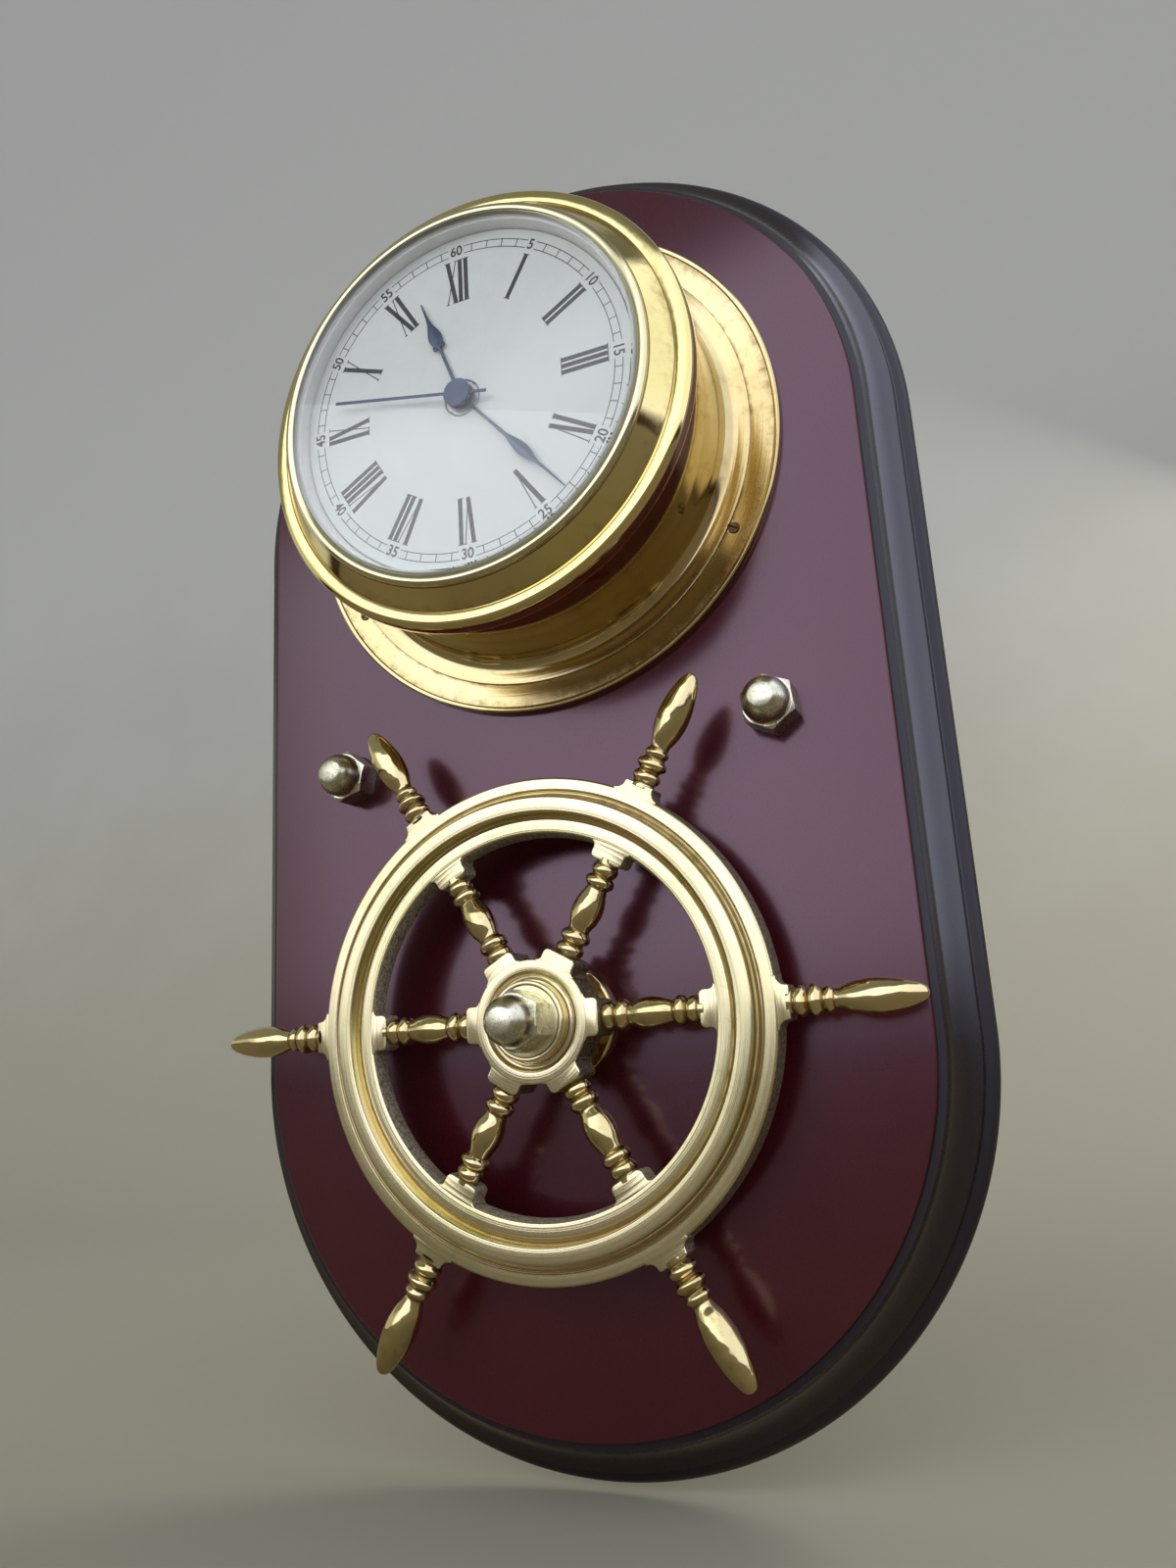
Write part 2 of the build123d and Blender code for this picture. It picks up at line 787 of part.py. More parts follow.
def gear(plane, teeth, turn):
    """A clock wheel's outline: straight-flanked teeth, one pointing along +X when turn is 0."""
    pitch_radius = motion_module * teeth / 2
    tip = pitch_radius + tooth_addendum * motion_module
    root = pitch_radius - tooth_dedendum * motion_module
    step = 360 / teeth
    points = []
    for number in range(teeth):
        middle = turn + number * step
        points.append(polar(root, middle - tooth_root_share * step))
        points.append(polar(tip, middle - tooth_tip_share * step))
        points.append(polar(tip, middle + tooth_tip_share * step))
        points.append(polar(root, middle + tooth_root_share * step))
    with BuildSketch(plane) as outline:
        with BuildLine():
            Polyline(*points, close=True)
        make_face()
    return outline.sketch


def meshing_turn(driver_teeth, driver_turn, teeth, direction):
    """The turn that lays a wheel's gaps over its driver's teeth, its centre lying along direction."""
    phase = (direction - driver_turn) * driver_teeth / 360
    return direction + 180 + (0.5 + phase) * 360 / teeth


motion_turn = meshing_turn(cannon_teeth, 0, motion_teeth, motion_angle)
motion_pinion_turn = meshing_turn(hour_teeth, 0, motion_pinion_teeth, motion_angle)
setting_turn = meshing_turn(motion_teeth, motion_turn, setting_teeth, setting_angle)

with BuildPart() as hour_wheel:
    hour_tube_length = hour_seat + hand_thickness - hour_layer
    extrude(gear(front_plane(hour_layer, z=clock_z), hour_teeth, 0), amount=wheel_thickness)
    with BuildSketch(front_plane(hour_layer, z=clock_z)):
        Circle(hour_tube_radius)
    extrude(amount=hour_tube_length)
    with BuildSketch(front_plane(hour_layer, z=clock_z)):
        Circle(minute_tube_radius + running_gap)
    extrude(amount=hour_tube_length, mode=Mode.SUBTRACT)
save(hour_wheel, "hour_wheel")

with BuildPart() as cannon_pinion:
    minute_tube_length = minute_seat + hand_thickness - motion_layer
    extrude(gear(front_plane(motion_layer, z=clock_z), cannon_teeth, 0), amount=wheel_thickness)
    with BuildSketch(front_plane(motion_layer, z=clock_z)):
        Circle(minute_tube_radius)
    extrude(amount=minute_tube_length)
    with BuildSketch(front_plane(motion_layer, z=clock_z)):
        Circle(second_arbor_radius + running_gap)
    extrude(amount=minute_tube_length, mode=Mode.SUBTRACT)
save(cannon_pinion, "cannon_pinion")

with BuildPart() as motion_wheel:
    motion_plane = front_plane(motion_layer, *motion_place)
    extrude(gear(motion_plane, motion_teeth, motion_turn), amount=wheel_thickness)
    extrude(
        gear(motion_plane, motion_pinion_teeth, motion_pinion_turn),
        amount=layer_pitch + wheel_thickness,
    )
    with BuildSketch(motion_plane):
        Circle(stud_radius + running_gap)
    extrude(amount=layer_pitch + wheel_thickness, mode=Mode.SUBTRACT)
save(motion_wheel, "motion_wheel")

with BuildPart() as setting_knob:
    knob_front = movement_rear - end_gap
    knob_gear = gear(front_plane(motion_layer, *setting_place), setting_teeth, setting_turn)
    extrude(knob_gear, amount=wheel_thickness)
    with BuildSketch(front_plane(knob_front, *setting_place)):
        Circle(setting_arbor_radius)
    extrude(amount=motion_layer - knob_front)
    with BuildSketch(front_plane(knob_front, *setting_place)):
        RegularPolygon(setting_knob_radius, setting_knob_sides)
    extrude(amount=-setting_knob_height)
save(setting_knob, "setting_knob")

with BuildPart() as seconds_arbor:
    with BuildSketch(front_plane(movement_rear, z=clock_z)):
        Circle(second_arbor_radius)
    extrude(amount=second_seat - movement_rear)
save(seconds_arbor, "seconds_arbor")

# ---------------------------------------------------------------- hands


def hand_plane(height, turn):
    """A plane at one hand's height whose +Y points where the hand reads, turn clockwise from 12."""
    across = (cos(radians(turn)), 0, -sin(radians(turn)))
    return Plane(origin=(0, -height, clock_z), x_dir=across, z_dir=(0, -1, 0))


def spade_hand(plane, shank, spade, length):
    """A spade hand's outline; spade holds its start, widest place and end, and its width."""
    start, widest, end, width = spade
    with BuildSketch(plane) as outline:
        with BuildLine():
            Polyline(
                (0, 0),
                (shank / 2, 0),
                (shank * 0.35, start),
                (width * 0.36, (start + widest) / 2),
                (width / 2, widest),
                (width * 0.3, (widest + end) / 2),
                (shank / 4, end),
                (0, length),
                close=True,
            )
        make_face()
        mirror(about=Plane.YZ)
    return outline.sketch


with BuildPart() as hour_hand:
    hour_plane = hand_plane(hour_seat, hour_angle)
    extrude(spade_hand(hour_plane, hour_shank, hour_spade, hour_hand_length), amount=hand_thickness)
    with BuildSketch(hour_plane):
        Circle(hour_tube_radius + hand_collar)
    extrude(amount=hand_thickness)
    with BuildSketch(hour_plane):
        Circle(hour_tube_radius)
    extrude(amount=hand_thickness, mode=Mode.SUBTRACT)
save(hour_hand, "hour_hand")

with BuildPart() as minute_hand:
    minute_plane = hand_plane(minute_seat, minute_angle)
    extrude(spade_hand(minute_plane, minute_shank, minute_spade, minute_hand_length), amount=hand_thickness)
    with BuildSketch(minute_plane):
        Circle(minute_tube_radius + hand_collar)
    extrude(amount=hand_thickness)
    with BuildSketch(minute_plane):
        Circle(minute_tube_radius)
    extrude(amount=hand_thickness, mode=Mode.SUBTRACT)
save(minute_hand, "minute_hand")

with BuildPart() as second_hand:
    with BuildSketch(hand_plane(second_seat, second_angle)):
        with Locations((0, -second_hand_tail)):
            Rectangle(
                second_hand_width,
                second_hand_length + second_hand_tail,
                align=(Align.CENTER, Align.MIN),
            )
    extrude(amount=hand_thickness)
    with BuildSketch(front_plane(second_seat, z=clock_z)):
        Circle(cap_radius)
    extrude(amount=hand_thickness + cap_thickness)
save(second_hand, "second_hand")

# ---------------------------------------------------------------- battery and electrics

with BuildPart() as battery:
    with BuildSketch(Plane(origin=(-battery_length / 2, -battery_height, bay_z), z_dir=(1, 0, 0))):
        Circle(battery_radius)
    extrude(amount=battery_length)
save(battery, "battery")

with BuildPart() as battery_contacts:
    contact_gap = (chamber_width - battery_length) / 2
    for side_sign in (-1, 1):
        contact_x = side_sign * (chamber_width - contact_gap) / 2
        with BuildSketch(front_plane(cover_front, contact_x, bay_z)):
            Rectangle(contact_gap, contact_width)
        extrude(amount=plate_back - cover_front)
save(battery_contacts, "battery_contacts")

circuit_z = clock_z + circuit_rise
circuit_back = plate_back - circuit_thickness

with BuildPart() as circuit_board:
    with BuildSketch(front_plane(circuit_back, circuit_x, circuit_z)):
        Rectangle(circuit_width, circuit_height)
    extrude(amount=circuit_thickness)
save(circuit_board, "circuit_board")

with BuildPart() as drive_coil:
    coil_height = circuit_back - bobbin_width / 2
    with BuildSketch(Plane(origin=(circuit_x, -coil_height, circuit_z), z_dir=(0, 0, 1))):
        Circle(coil_radius)
    extrude(amount=coil_length / 2, both=True)
    for end_z in (circuit_z - coil_length / 2, circuit_z + coil_length / 2):
        with BuildSketch(Plane(origin=(circuit_x, -coil_height, end_z), z_dir=(0, 0, 1))):
            Rectangle(bobbin_width, bobbin_width)
        extrude(amount=bobbin_thickness / 2, both=True)
save(drive_coil, "drive_coil")
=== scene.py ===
"""Looks of the ship's deck clock: a brass bulkhead clock and a ship's wheel on a lacquered, moulded board.

Outlines are in millimetres, and a point of a turned outline is (radius, height in front of the wall).
+Z is up the board and -Y points out of the wall.
"""

import json
from math import atan2, cos, hypot, pi, radians, sin, sqrt

import bpy
from mathutils import Matrix, Vector


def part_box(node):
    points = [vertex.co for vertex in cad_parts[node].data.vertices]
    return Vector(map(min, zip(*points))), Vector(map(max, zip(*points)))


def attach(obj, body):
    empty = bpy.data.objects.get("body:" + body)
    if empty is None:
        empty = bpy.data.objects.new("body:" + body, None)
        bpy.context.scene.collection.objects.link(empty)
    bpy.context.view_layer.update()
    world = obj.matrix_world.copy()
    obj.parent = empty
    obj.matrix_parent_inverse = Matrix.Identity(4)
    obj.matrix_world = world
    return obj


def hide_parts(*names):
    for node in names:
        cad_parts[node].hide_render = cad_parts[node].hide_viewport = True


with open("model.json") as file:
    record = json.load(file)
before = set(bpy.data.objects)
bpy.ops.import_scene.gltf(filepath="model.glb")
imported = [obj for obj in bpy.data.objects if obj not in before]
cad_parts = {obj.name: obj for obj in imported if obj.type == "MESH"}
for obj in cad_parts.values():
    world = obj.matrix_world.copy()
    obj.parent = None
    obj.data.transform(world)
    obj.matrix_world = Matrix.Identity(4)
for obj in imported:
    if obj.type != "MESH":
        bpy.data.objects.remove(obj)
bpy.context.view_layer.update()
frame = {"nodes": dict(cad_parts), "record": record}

MM = 0.001
behaviour = frame["record"]["behaviour"]
joint_places = {joint["name"]: joint.get("pos_m") for joint in behaviour["joints"]}
CLOCK_Z = joint_places["minute_turn"][2] / MM
WHEEL_Z = joint_places["wheel_turn"][2] / MM


def back(node):
    """The distance of a CAD node's back from the wall."""
    return round(-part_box(node)[1][1] / MM, 2)


def front(node):
    """The distance of a CAD node's front from the wall."""
    return round(-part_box(node)[0][1] / MM, 2)


FACE = front("plaque_board")
END_CENTRE = 100.0  # of the board's half-round ends, over and under its middle
PLATE_FACE = front("dial_plate")
DIAL_FACE = PLATE_FACE + 2.0  # the printed card's, over the metal plate
NUT_FLATS = 16.0
NUT_CORNER = NUT_FLATS / sqrt(3)
SIDE_NUT_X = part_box("side_bolts")[1][0] / MM - NUT_CORNER
SIDE_NUT_Z = (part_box("side_bolts")[0][2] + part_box("side_bolts")[1][2]) / 2 / MM
SPOKES = 6
RING_PITCH = 0.8  # of the rings that a lathe leaves in brass


# ---------------------------------------------------------------- shader arithmetic


class Value:
    """A number, vector or colour in a shader, on which + - * and abs() work."""

    def __init__(self, graph, socket):
        self.graph, self.socket = graph, socket

    def math(self, operation, *operands):
        return self.graph.node("ShaderNodeMath", {"operation": operation}, dict(enumerate(operands)))

    def output(self, name):
        """Another output of the node that this value came from."""
        return Value(self.graph, self.socket.node.outputs[name])

    def __add__(self, other):
        return self.math("ADD", self, other)

    def __radd__(self, other):
        return self.math("ADD", other, self)

    def __sub__(self, other):
        return self.math("SUBTRACT", self, other)

    def __rsub__(self, other):
        return self.math("SUBTRACT", other, self)

    def __mul__(self, other):
        return self.math("MULTIPLY", self, other)

    def __rmul__(self, other):
        return self.math("MULTIPLY", other, self)

    def __abs__(self):
        return self.math("ABSOLUTE", self)

    def root(self):
        return self.math("SQRT", self)

    def at_least(self, low):
        return self.math("MAXIMUM", self, low)


class Graph:
    """The nodes of one material or of the world."""

    def __init__(self, tree):
        self.tree = tree
        tree.nodes.clear()

    def node(self, kind, settings=None, values=None, output=0):
        """A node with its settings made first, then its inputs given values or links."""
        made = self.tree.nodes.new(kind)
        for name, setting in (settings or {}).items():
            setattr(made, name, setting)
        for name, value in (values or {}).items():
            self.feed(made.inputs[name], value)
        return Value(self, made.outputs[output]) if made.outputs else None

    def feed(self, socket, value):
        if isinstance(value, Value):
            self.tree.links.new(value.socket, socket)
        else:
            socket.default_value = value

    def mix(self, share, first, second):
        """The first colour where share is 0, the second where it is 1."""
        first, second = (c if isinstance(c, Value) else (*c, 1) for c in (first, second))
        return self.node("ShaderNodeMix", {"data_type": "RGBA"}, {0: share, 6: first, 7: second}, 2)

    def step(self, value, low, high):
        """0 below low, 1 above high, and smooth between them."""
        return self.node(
            "ShaderNodeMapRange",
            {"interpolation_type": "SMOOTHSTEP"},
            {"Value": value, "From Min": low, "From Max": high},
        )

    def noise(self, place, scale, detail=3.0, roughness=0.5):
        return self.node(
            "ShaderNodeTexNoise",
            values={"Vector": place, "Scale": scale, "Detail": detail, "Roughness": roughness},
        )

    def coordinates(self, z=0.0):
        """Object coordinates in metres, from the board's middle line at z millimetres up the wall."""
        here = self.node("ShaderNodeTexCoord", output="Object")
        return self.node("ShaderNodeVectorMath", {"operation": "SUBTRACT"}, {0: here, 1: (0, 0, z * MM)})

    def split(self, vector):
        """The x, y and z of a vector."""
        parts = self.node("ShaderNodeSeparateXYZ", values={0: vector})
        return parts, parts.output("Y"), parts.output("Z")

    def join(self, x, y, z):
        return self.node("ShaderNodeCombineXYZ", values={0: x, 1: y, 2: z})

    def bump(self, height, strength, distance, under=None):
        values = {"Height": height, "Strength": strength, "Distance": distance}
        if under:
            values["Normal"] = under
        return self.node("ShaderNodeBump", values=values)

    def surface(self, constants, **varying):
        """The finished surface; a varying input's name has _ for a space."""
        values = dict(constants)
        values.update({name.replace("_", " "): value for name, value in varying.items()})
        values = {k: (*v, 1) if isinstance(v, tuple) and len(v) == 3 else v for k, v in values.items()}
        return self.node("ShaderNodeBsdfPrincipled", values=values)

    def finish(self, surface):
        self.node("ShaderNodeOutputMaterial", values={"Surface": surface})


def material(name):
    made = bpy.data.materials.new(name)
    made.use_nodes = True
    return made, Graph(made.node_tree)


# ---------------------------------------------------------------- finishes


def brass(name, colour, shine, z=0.0, turning=0.0, tarnish=0.3, cast_walls=False, lower_right_darkening=0.0, waver=0.0):
    """Brass worked round the axis at z; the lower its shine, the brighter the polish.

    turning is how far the lathe's rings show. tarnish is how far it has browned in spots, and
    lower_right_darkening how far its colour turns darker and browner towards the lower right. cast_walls
    leaves the wheel's side walls sandy from the mould, and waver is how uneven a polished surface is.
    """
    made, g = material(name)
    here = g.coordinates(z)
    across, depth, up = g.split(here)
    reach = (across * across + up * up).root()
    clouds = g.noise(here, 34, 3, 0.5)
    smears = g.noise(here, 300, 3, 0.55)
    specks = g.noise(here, 2300, 2, 0.6)
    scratches = g.noise(g.join(across * 2600, depth * 2600, up * 160), 1.0, 2, 0.6)
    rings = g.noise(g.join(reach * (1 / (RING_PITCH * MM)), depth * 60, 0.0), 1.0, 3, 0.65)
    hollow = g.node("ShaderNodeAttribute", {"attribute_name": "hollow"}, output="Fac")
    grime = g.step(hollow + (smears - 0.5) * 0.5, 0.12, 0.6)
    greener = (colour[0] * 0.9, colour[1] * 0.93, colour[2] * 0.82)
    tone = g.mix(g.step(clouds, 0.35, 0.68), colour, greener)
    brown = (colour[0] * 0.34, colour[1] * 0.25, colour[2] * 0.16)
    tone = g.mix(g.step(smears * 0.55 + clouds * 0.45, 0.52, 0.72) * tarnish, tone, brown)
    if lower_right_darkening:
        # the colour turns darker and browner towards the piece's lower right
        toward_lower_right = g.step(across * 0.8 - up * 0.6 + (clouds - 0.5) * 0.06, 0.03, 0.09) * lower_right_darkening
        tone = g.mix(toward_lower_right, tone, (colour[0] * 0.52, colour[1] * 0.42, colour[2] * 0.34))
    tone = g.mix(grime * 0.85, tone, (brown[0] * 0.8, brown[1] * 0.75, brown[2] * 0.6))
    tone = g.mix(g.step(specks, 0.72, 0.8) * 0.3, tone, (0.12, 0.07, 0.03))
    metal = 1.0
    rough = shine + smears * 0.05 + grime * 0.3 + (scratches - 0.5) * 0.05 + (rings - 0.5) * 0.2 * turning
    relief = g.bump(scratches, 0.03, 0.0001)
    if turning:
        lathe_brown = tuple(1.4 * part for part in brown)
        tone = g.mix(g.step(rings, 0.52, 0.74) * 0.45 * turning, tone, lathe_brown)
        relief = g.bump(rings, 0.4 * turning, 0.0002, relief)
    if cast_walls:
        facing = g.split(g.node("ShaderNodeNewGeometry", output="Normal"))[1]
        within_rim = g.step(reach, 0.0582, 0.0574)
        outside_rim = g.step(reach, 0.0745, 0.0752)
        past_hub_groove = g.step(reach, 0.0165, 0.0180)
        wall = g.step(abs(facing), 0.5, 0.3) * (within_rim + outside_rim) * past_hub_groove
        sand = g.noise(here, 1100, 3, 0.65)
        sandy = g.mix(g.step(sand, 0.35, 0.65), (0.07, 0.05, 0.03), (0.42, 0.36, 0.24))
        tone = g.mix(wall * 0.9, tone, sandy)
        rough = rough + wall * 0.28
        clear_of_lobes = g.step(reach, 0.030, 0.034)
        metal = 1.0 - wall * within_rim * clear_of_lobes * 0.7
        relief = g.bump(sand * wall, 0.9, 0.0005, relief)
    if waver:
        relief = g.bump(g.noise(here, 170, 1, 0.4), waver, 0.0015, relief)
    g.finish(g.surface({}, Metallic=metal, Base_Color=tone, Roughness=rough, Normal=relief))
    return made


def board_lacquer(name, gloss, glow):
    """Dark red stain under satin lacquer, near black on the moulded edge, bare at the back."""
    made, g = material(name)
    here = g.coordinates()
    x, y, z = g.split(here)
    along = (abs(z) - END_CENTRE * MM).at_least(0.0)
    reach = (x * x + along * along).root()
    clouds = g.noise(here, 9, 4, 0.55)
    grain = g.noise(g.join(x * 900, y * 900, z * 22), 1.0, 4, 0.6)
    peel = g.noise(here, 750, 2, 0.5)
    dust = g.noise(here, 2600, 1, 0.5)
    face = g.mix(g.step(clouds, 0.3, 0.75), (0.034, 0.0028, 0.0045), (0.046, 0.0040, 0.0062))
    face = g.mix(g.step(grain, 0.45, 0.8) * 0.3, face, (0.026, 0.003, 0.005))
    edge = g.mix(g.step(grain, 0.4, 0.8) * 0.5, (0.006, 0.002, 0.0025), (0.013, 0.003, 0.004))
    moulding = g.step(reach, 0.1131, 0.1139)
    worn = g.step(reach, 0.1129, 0.1132) * g.step(reach, 0.1138, 0.1134)
    colour = g.mix(moulding, face, edge)
    colour = g.mix(worn * g.step(clouds, 0.42, 0.6) * 0.5, colour, (0.12, 0.02, 0.014))
    bare = g.step(y, -0.0006, -0.0002)
    colour = g.mix(bare * 0.85, colour, g.mix(grain, (0.10, 0.055, 0.032), (0.17, 0.1, 0.06)))
    bead = moulding * (g.step(reach, 0.1250, 0.1256) + g.step(reach, 0.1162, 0.1158))
    rough = 0.17 + clouds * 0.08 + g.step(dust, 0.62, 0.7) * 0.1 + bare * 0.4 + bead * 0.3
    relief = g.bump(peel, 0.02, 0.0003, g.bump(grain, 0.012, 0.0003))
    coat = gloss * (1.0 - bare) * (1.0 - bead * 0.7)
    g.finish(
        g.surface(
            {
                "Metallic": 0.0,
                "IOR": 1.55,
                "Specular Tint": glow,
                "Coat Roughness": 0.15,
                "Coat IOR": 1.54,
            },
            Base_Color=colour,
            Roughness=rough,
            Coat_Weight=coat,
            Normal=relief,
        )
    )
    return made


def nickel():
    """Plated steel, a little pitted and yellowed."""
    made, g = material("pitted_nickel")
    here = g.coordinates()
    clouds = g.noise(here, 240, 4, 0.6)
    pits = g.noise(here, 1500, 3, 0.6)
    colour = g.mix(g.step(clouds, 0.35, 0.7), (0.76, 0.755, 0.60), (0.50, 0.485, 0.34))
    colour = g.mix(g.step(pits, 0.58, 0.68) * 0.6, colour, (0.22, 0.17, 0.10))
    rough = 0.2 + clouds * 0.14 + g.step(pits, 0.58, 0.68) * 0.25
    relief = g.bump(pits, 0.12, 0.0002)
    g.finish(g.surface({"Metallic": 1.0}, Base_Color=colour, Roughness=rough, Normal=relief))
    return made


def coated(name, pale, dark, metallic, shine, scale=400, relief=0.05):
    """A finish that only varies softly: paint, plastic, plating, resin or card."""
    made, g = material(name)
    here = g.coordinates()
    clouds = g.noise(here, scale / 6, 4, 0.55)
    fine = g.noise(here, scale, 3, 0.6)
    colour = g.mix(g.step(clouds * 0.6 + fine * 0.4, 0.35, 0.68), pale, dark)
    rough = shine + fine * 0.12
    bumped = g.bump(fine, relief, 0.0003)
    g.finish(g.surface({"Metallic": metallic}, Base_Color=colour, Roughness=rough, Normal=bumped))
    return made


def crystal():
    """Clear glass that lets light through to the dial."""
    made, g = material("clear_glass")
    here = g.coordinates(CLOCK_Z)
    haze = g.noise(here, 60, 4, 0.6)
    body = g.surface(
        {"Transmission Weight": 1.0, "IOR": 1.36, "Metallic": 0.0},
        Base_Color=(0.99, 1.0, 0.995),
        Roughness=g.step(haze, 0.5, 0.9) * 0.015,
    )
    clear = g.node("ShaderNodeBsdfTransparent")
    shadow = g.node("ShaderNodeLightPath", output="Is Shadow Ray")
    mixed = g.node("ShaderNodeMixShader", values={0: shadow, 1: body, 2: clear})
    g.finish(mixed)
    return made


wheel_brass = brass(
    "turned_brass", (0.80, 0.71, 0.455), 0.18, WHEEL_Z, turning=1.0, tarnish=0.2, cast_walls=True
)
handle_brass = brass("polished_brass", (0.73, 0.60, 0.32), 0.08, tarnish=0.5, waver=0.35)
case_brass = brass("spun_brass", (0.63, 0.48, 0.21), 0.05, CLOCK_Z, tarnish=0.1)
flange_brass = brass(
    "flange_brass", (0.71, 0.59, 0.32), 0.12, CLOCK_Z, turning=0.3, tarnish=0.35, lower_right_darkening=0.55
)
bezel_brass = brass("bezel_brass", (0.82, 0.68, 0.31), 0.06, CLOCK_Z, turning=0.2, tarnish=0.12, waver=0.03)
lip_brass = brass("bezel_lip", (0.76, 0.68, 0.44), 0.12, CLOCK_Z, turning=0.2, tarnish=0.1)
lacquer = board_lacquer("stained_lacquer", 0.6, (1.0, 0.52, 0.80))
moulding_lacquer = board_lacquer("moulding_lacquer", 0.8, (0.72, 0.74, 0.86))
plating = nickel()
steel = coated("zinc_steel", (0.42, 0.41, 0.38), (0.27, 0.25, 0.22), 1.0, 0.32)
screw_steel = coated("aged_screw", (0.20, 0.15, 0.08), (0.09, 0.06, 0.035), 1.0, 0.35, 2500)
silver = coated("dial_silver", (0.65, 0.675, 0.64), (0.62, 0.645, 0.61), 0.0, 0.4, 900, 0.02)
white = coated("reflector_white", (0.82, 0.82, 0.79), (0.75, 0.75, 0.71), 0.0, 0.3)
ink = coated("dial_ink", (0.012, 0.012, 0.014), (0.02, 0.02, 0.022), 0.0, 0.45)
blue = coated("blued_steel", (0.045, 0.06, 0.10), (0.03, 0.04, 0.07), 0.75, 0.28, 1500)
black_plastic = coated("black_plastic", (0.018, 0.018, 0.019), (0.03, 0.03, 0.031), 0.0, 0.42, 1500, 0.1)
pale_plastic = coated("gear_plastic", (0.72, 0.70, 0.62), (0.62, 0.60, 0.52), 0.0, 0.35)
pale_metal = coated("pale_collar", (0.42, 0.42, 0.42), (0.34, 0.34, 0.34), 0.5, 0.35)
cell = coated("battery_wrap", (0.05, 0.052, 0.06), (0.035, 0.036, 0.042), 0.2, 0.25)
resin = coated("circuit_resin", (0.02, 0.09, 0.035), (0.03, 0.12, 0.05), 0.0, 0.3)
copper = coated("coil_copper", (0.72, 0.3, 0.14), (0.5, 0.19, 0.09), 1.0, 0.3)
glass = crystal()
# painted highlight: a pale opaque finish for the glass's bevelled edge, standing for the bright ring of
# light there
edge_flare_finish = coated("glass_edge_painted_flare", (0.72, 0.75, 0.72), (0.60, 0.63, 0.60), 0.0, 0.3, 1200, 0.1)

FINISHES = {
    "plaque_board": lacquer,
    "dome_nuts": plating,
    "side_bolts": steel,
    "wheel_spindle": steel,
    "wheel_post": wheel_brass,
    "hub_disc": wheel_brass,
    "wheel_casting": wheel_brass,
    "hub_bush": wheel_brass,
    "clock_case": case_brass,
    "flange_screws": screw_steel,
    "dial_plate": silver,
    "reflector_ring": white,
    "dial_glass": glass,
    "bezel_ring": bezel_brass,
    "movement_case": black_plastic,
    "movement_cover": black_plastic,
    "movement_bush": pale_metal,
    "dial_nut": pale_metal,
    "hour_wheel": pale_plastic,
    "cannon_pinion": pale_plastic,
    "motion_wheel": pale_plastic,
    "setting_knob": black_plastic,
    "seconds_arbor": steel,
    "hour_hand": blue,
    "minute_hand": blue,
    "second_hand": blue,
    "battery": cell,
    "battery_contacts": plating,
    "circuit_board": resin,
    "drive_coil": copper,
}
for name, node in frame["nodes"].items():
    for material_slot in node.material_slots:
        material_slot.material = FINISHES[name]


# ---------------------------------------------------------------- modelling


def pick(obj):
    """Only this object selected, and active."""
    bpy.ops.object.select_all(action="DESELECT")
    obj.select_set(True)
    bpy.context.view_layer.objects.active = obj


def settle(obj):
    """Bake a piece's place, turn and size into its mesh."""
    pick(obj)
    bpy.ops.object.transform_apply(location=True, rotation=True, scale=True)


def clean(obj, angle=32):
    """Merge doubles, face outward and shade smooth except at real edges."""
    pick(obj)
    bpy.ops.object.mode_set(mode="EDIT")
    bpy.ops.mesh.select_all(action="SELECT")
    bpy.ops.mesh.remove_doubles(threshold=2e-6)
    bpy.ops.mesh.normals_make_consistent(inside=False)
    bpy.ops.object.mode_set(mode="OBJECT")
    bpy.ops.object.shade_smooth_by_angle(angle=radians(angle))


def rounded(corners, pieces=4):
    """An outline's points; a corner that has a third number is rounded to that radius."""
    points = []
    count = len(corners)
    for index, corner in enumerate(corners):
        here = Vector(corner[:2])
        radius = corner[2] if len(corner) > 2 else 0
        if not radius:
            points.append(tuple(here))
            continue
        before = (Vector(corners[index - 1][:2]) - here).normalized()
        after = (Vector(corners[(index + 1) % count][:2]) - here).normalized()
        half = before.angle(after) / 2
        run = radius / max(sin(half) / max(cos(half), 1e-6), 1e-6)
        start, end = here + before * run, here + after * run
        middle = here + (before + after).normalized() * (radius / sin(half))
        first = atan2(start.y - middle.y, start.x - middle.x)
        last = atan2(end.y - middle.y, end.x - middle.x)
        sweep = (last - first + pi) % (2 * pi) - pi
        for part in range(pieces + 1):
            angle = first + sweep * part / pieces
            points.append((middle.x + radius * cos(angle), middle.y + radius * sin(angle)))
    return points


def flowing(points, pieces=4):
    """A smooth curve through these points."""
    padded = [points[0], *points, points[-1]]
    curve = []
    for a, b, c, d in zip(padded, padded[1:], padded[2:], padded[3:]):
        for part in range(pieces):
            t = part / pieces
            weights = (
                -0.5 * t**3 + t**2 - 0.5 * t,
                1.5 * t**3 - 2.5 * t**2 + 1,
                -1.5 * t**3 + 2 * t**2 + 0.5 * t,
                0.5 * t**3 - 0.5 * t**2,
            )
            curve.append(tuple(sum(w * p[k] for w, p in zip(weights, (a, b, c, d))) for k in (0, 1)))
    curve.append(tuple(points[-1]))
    return curve


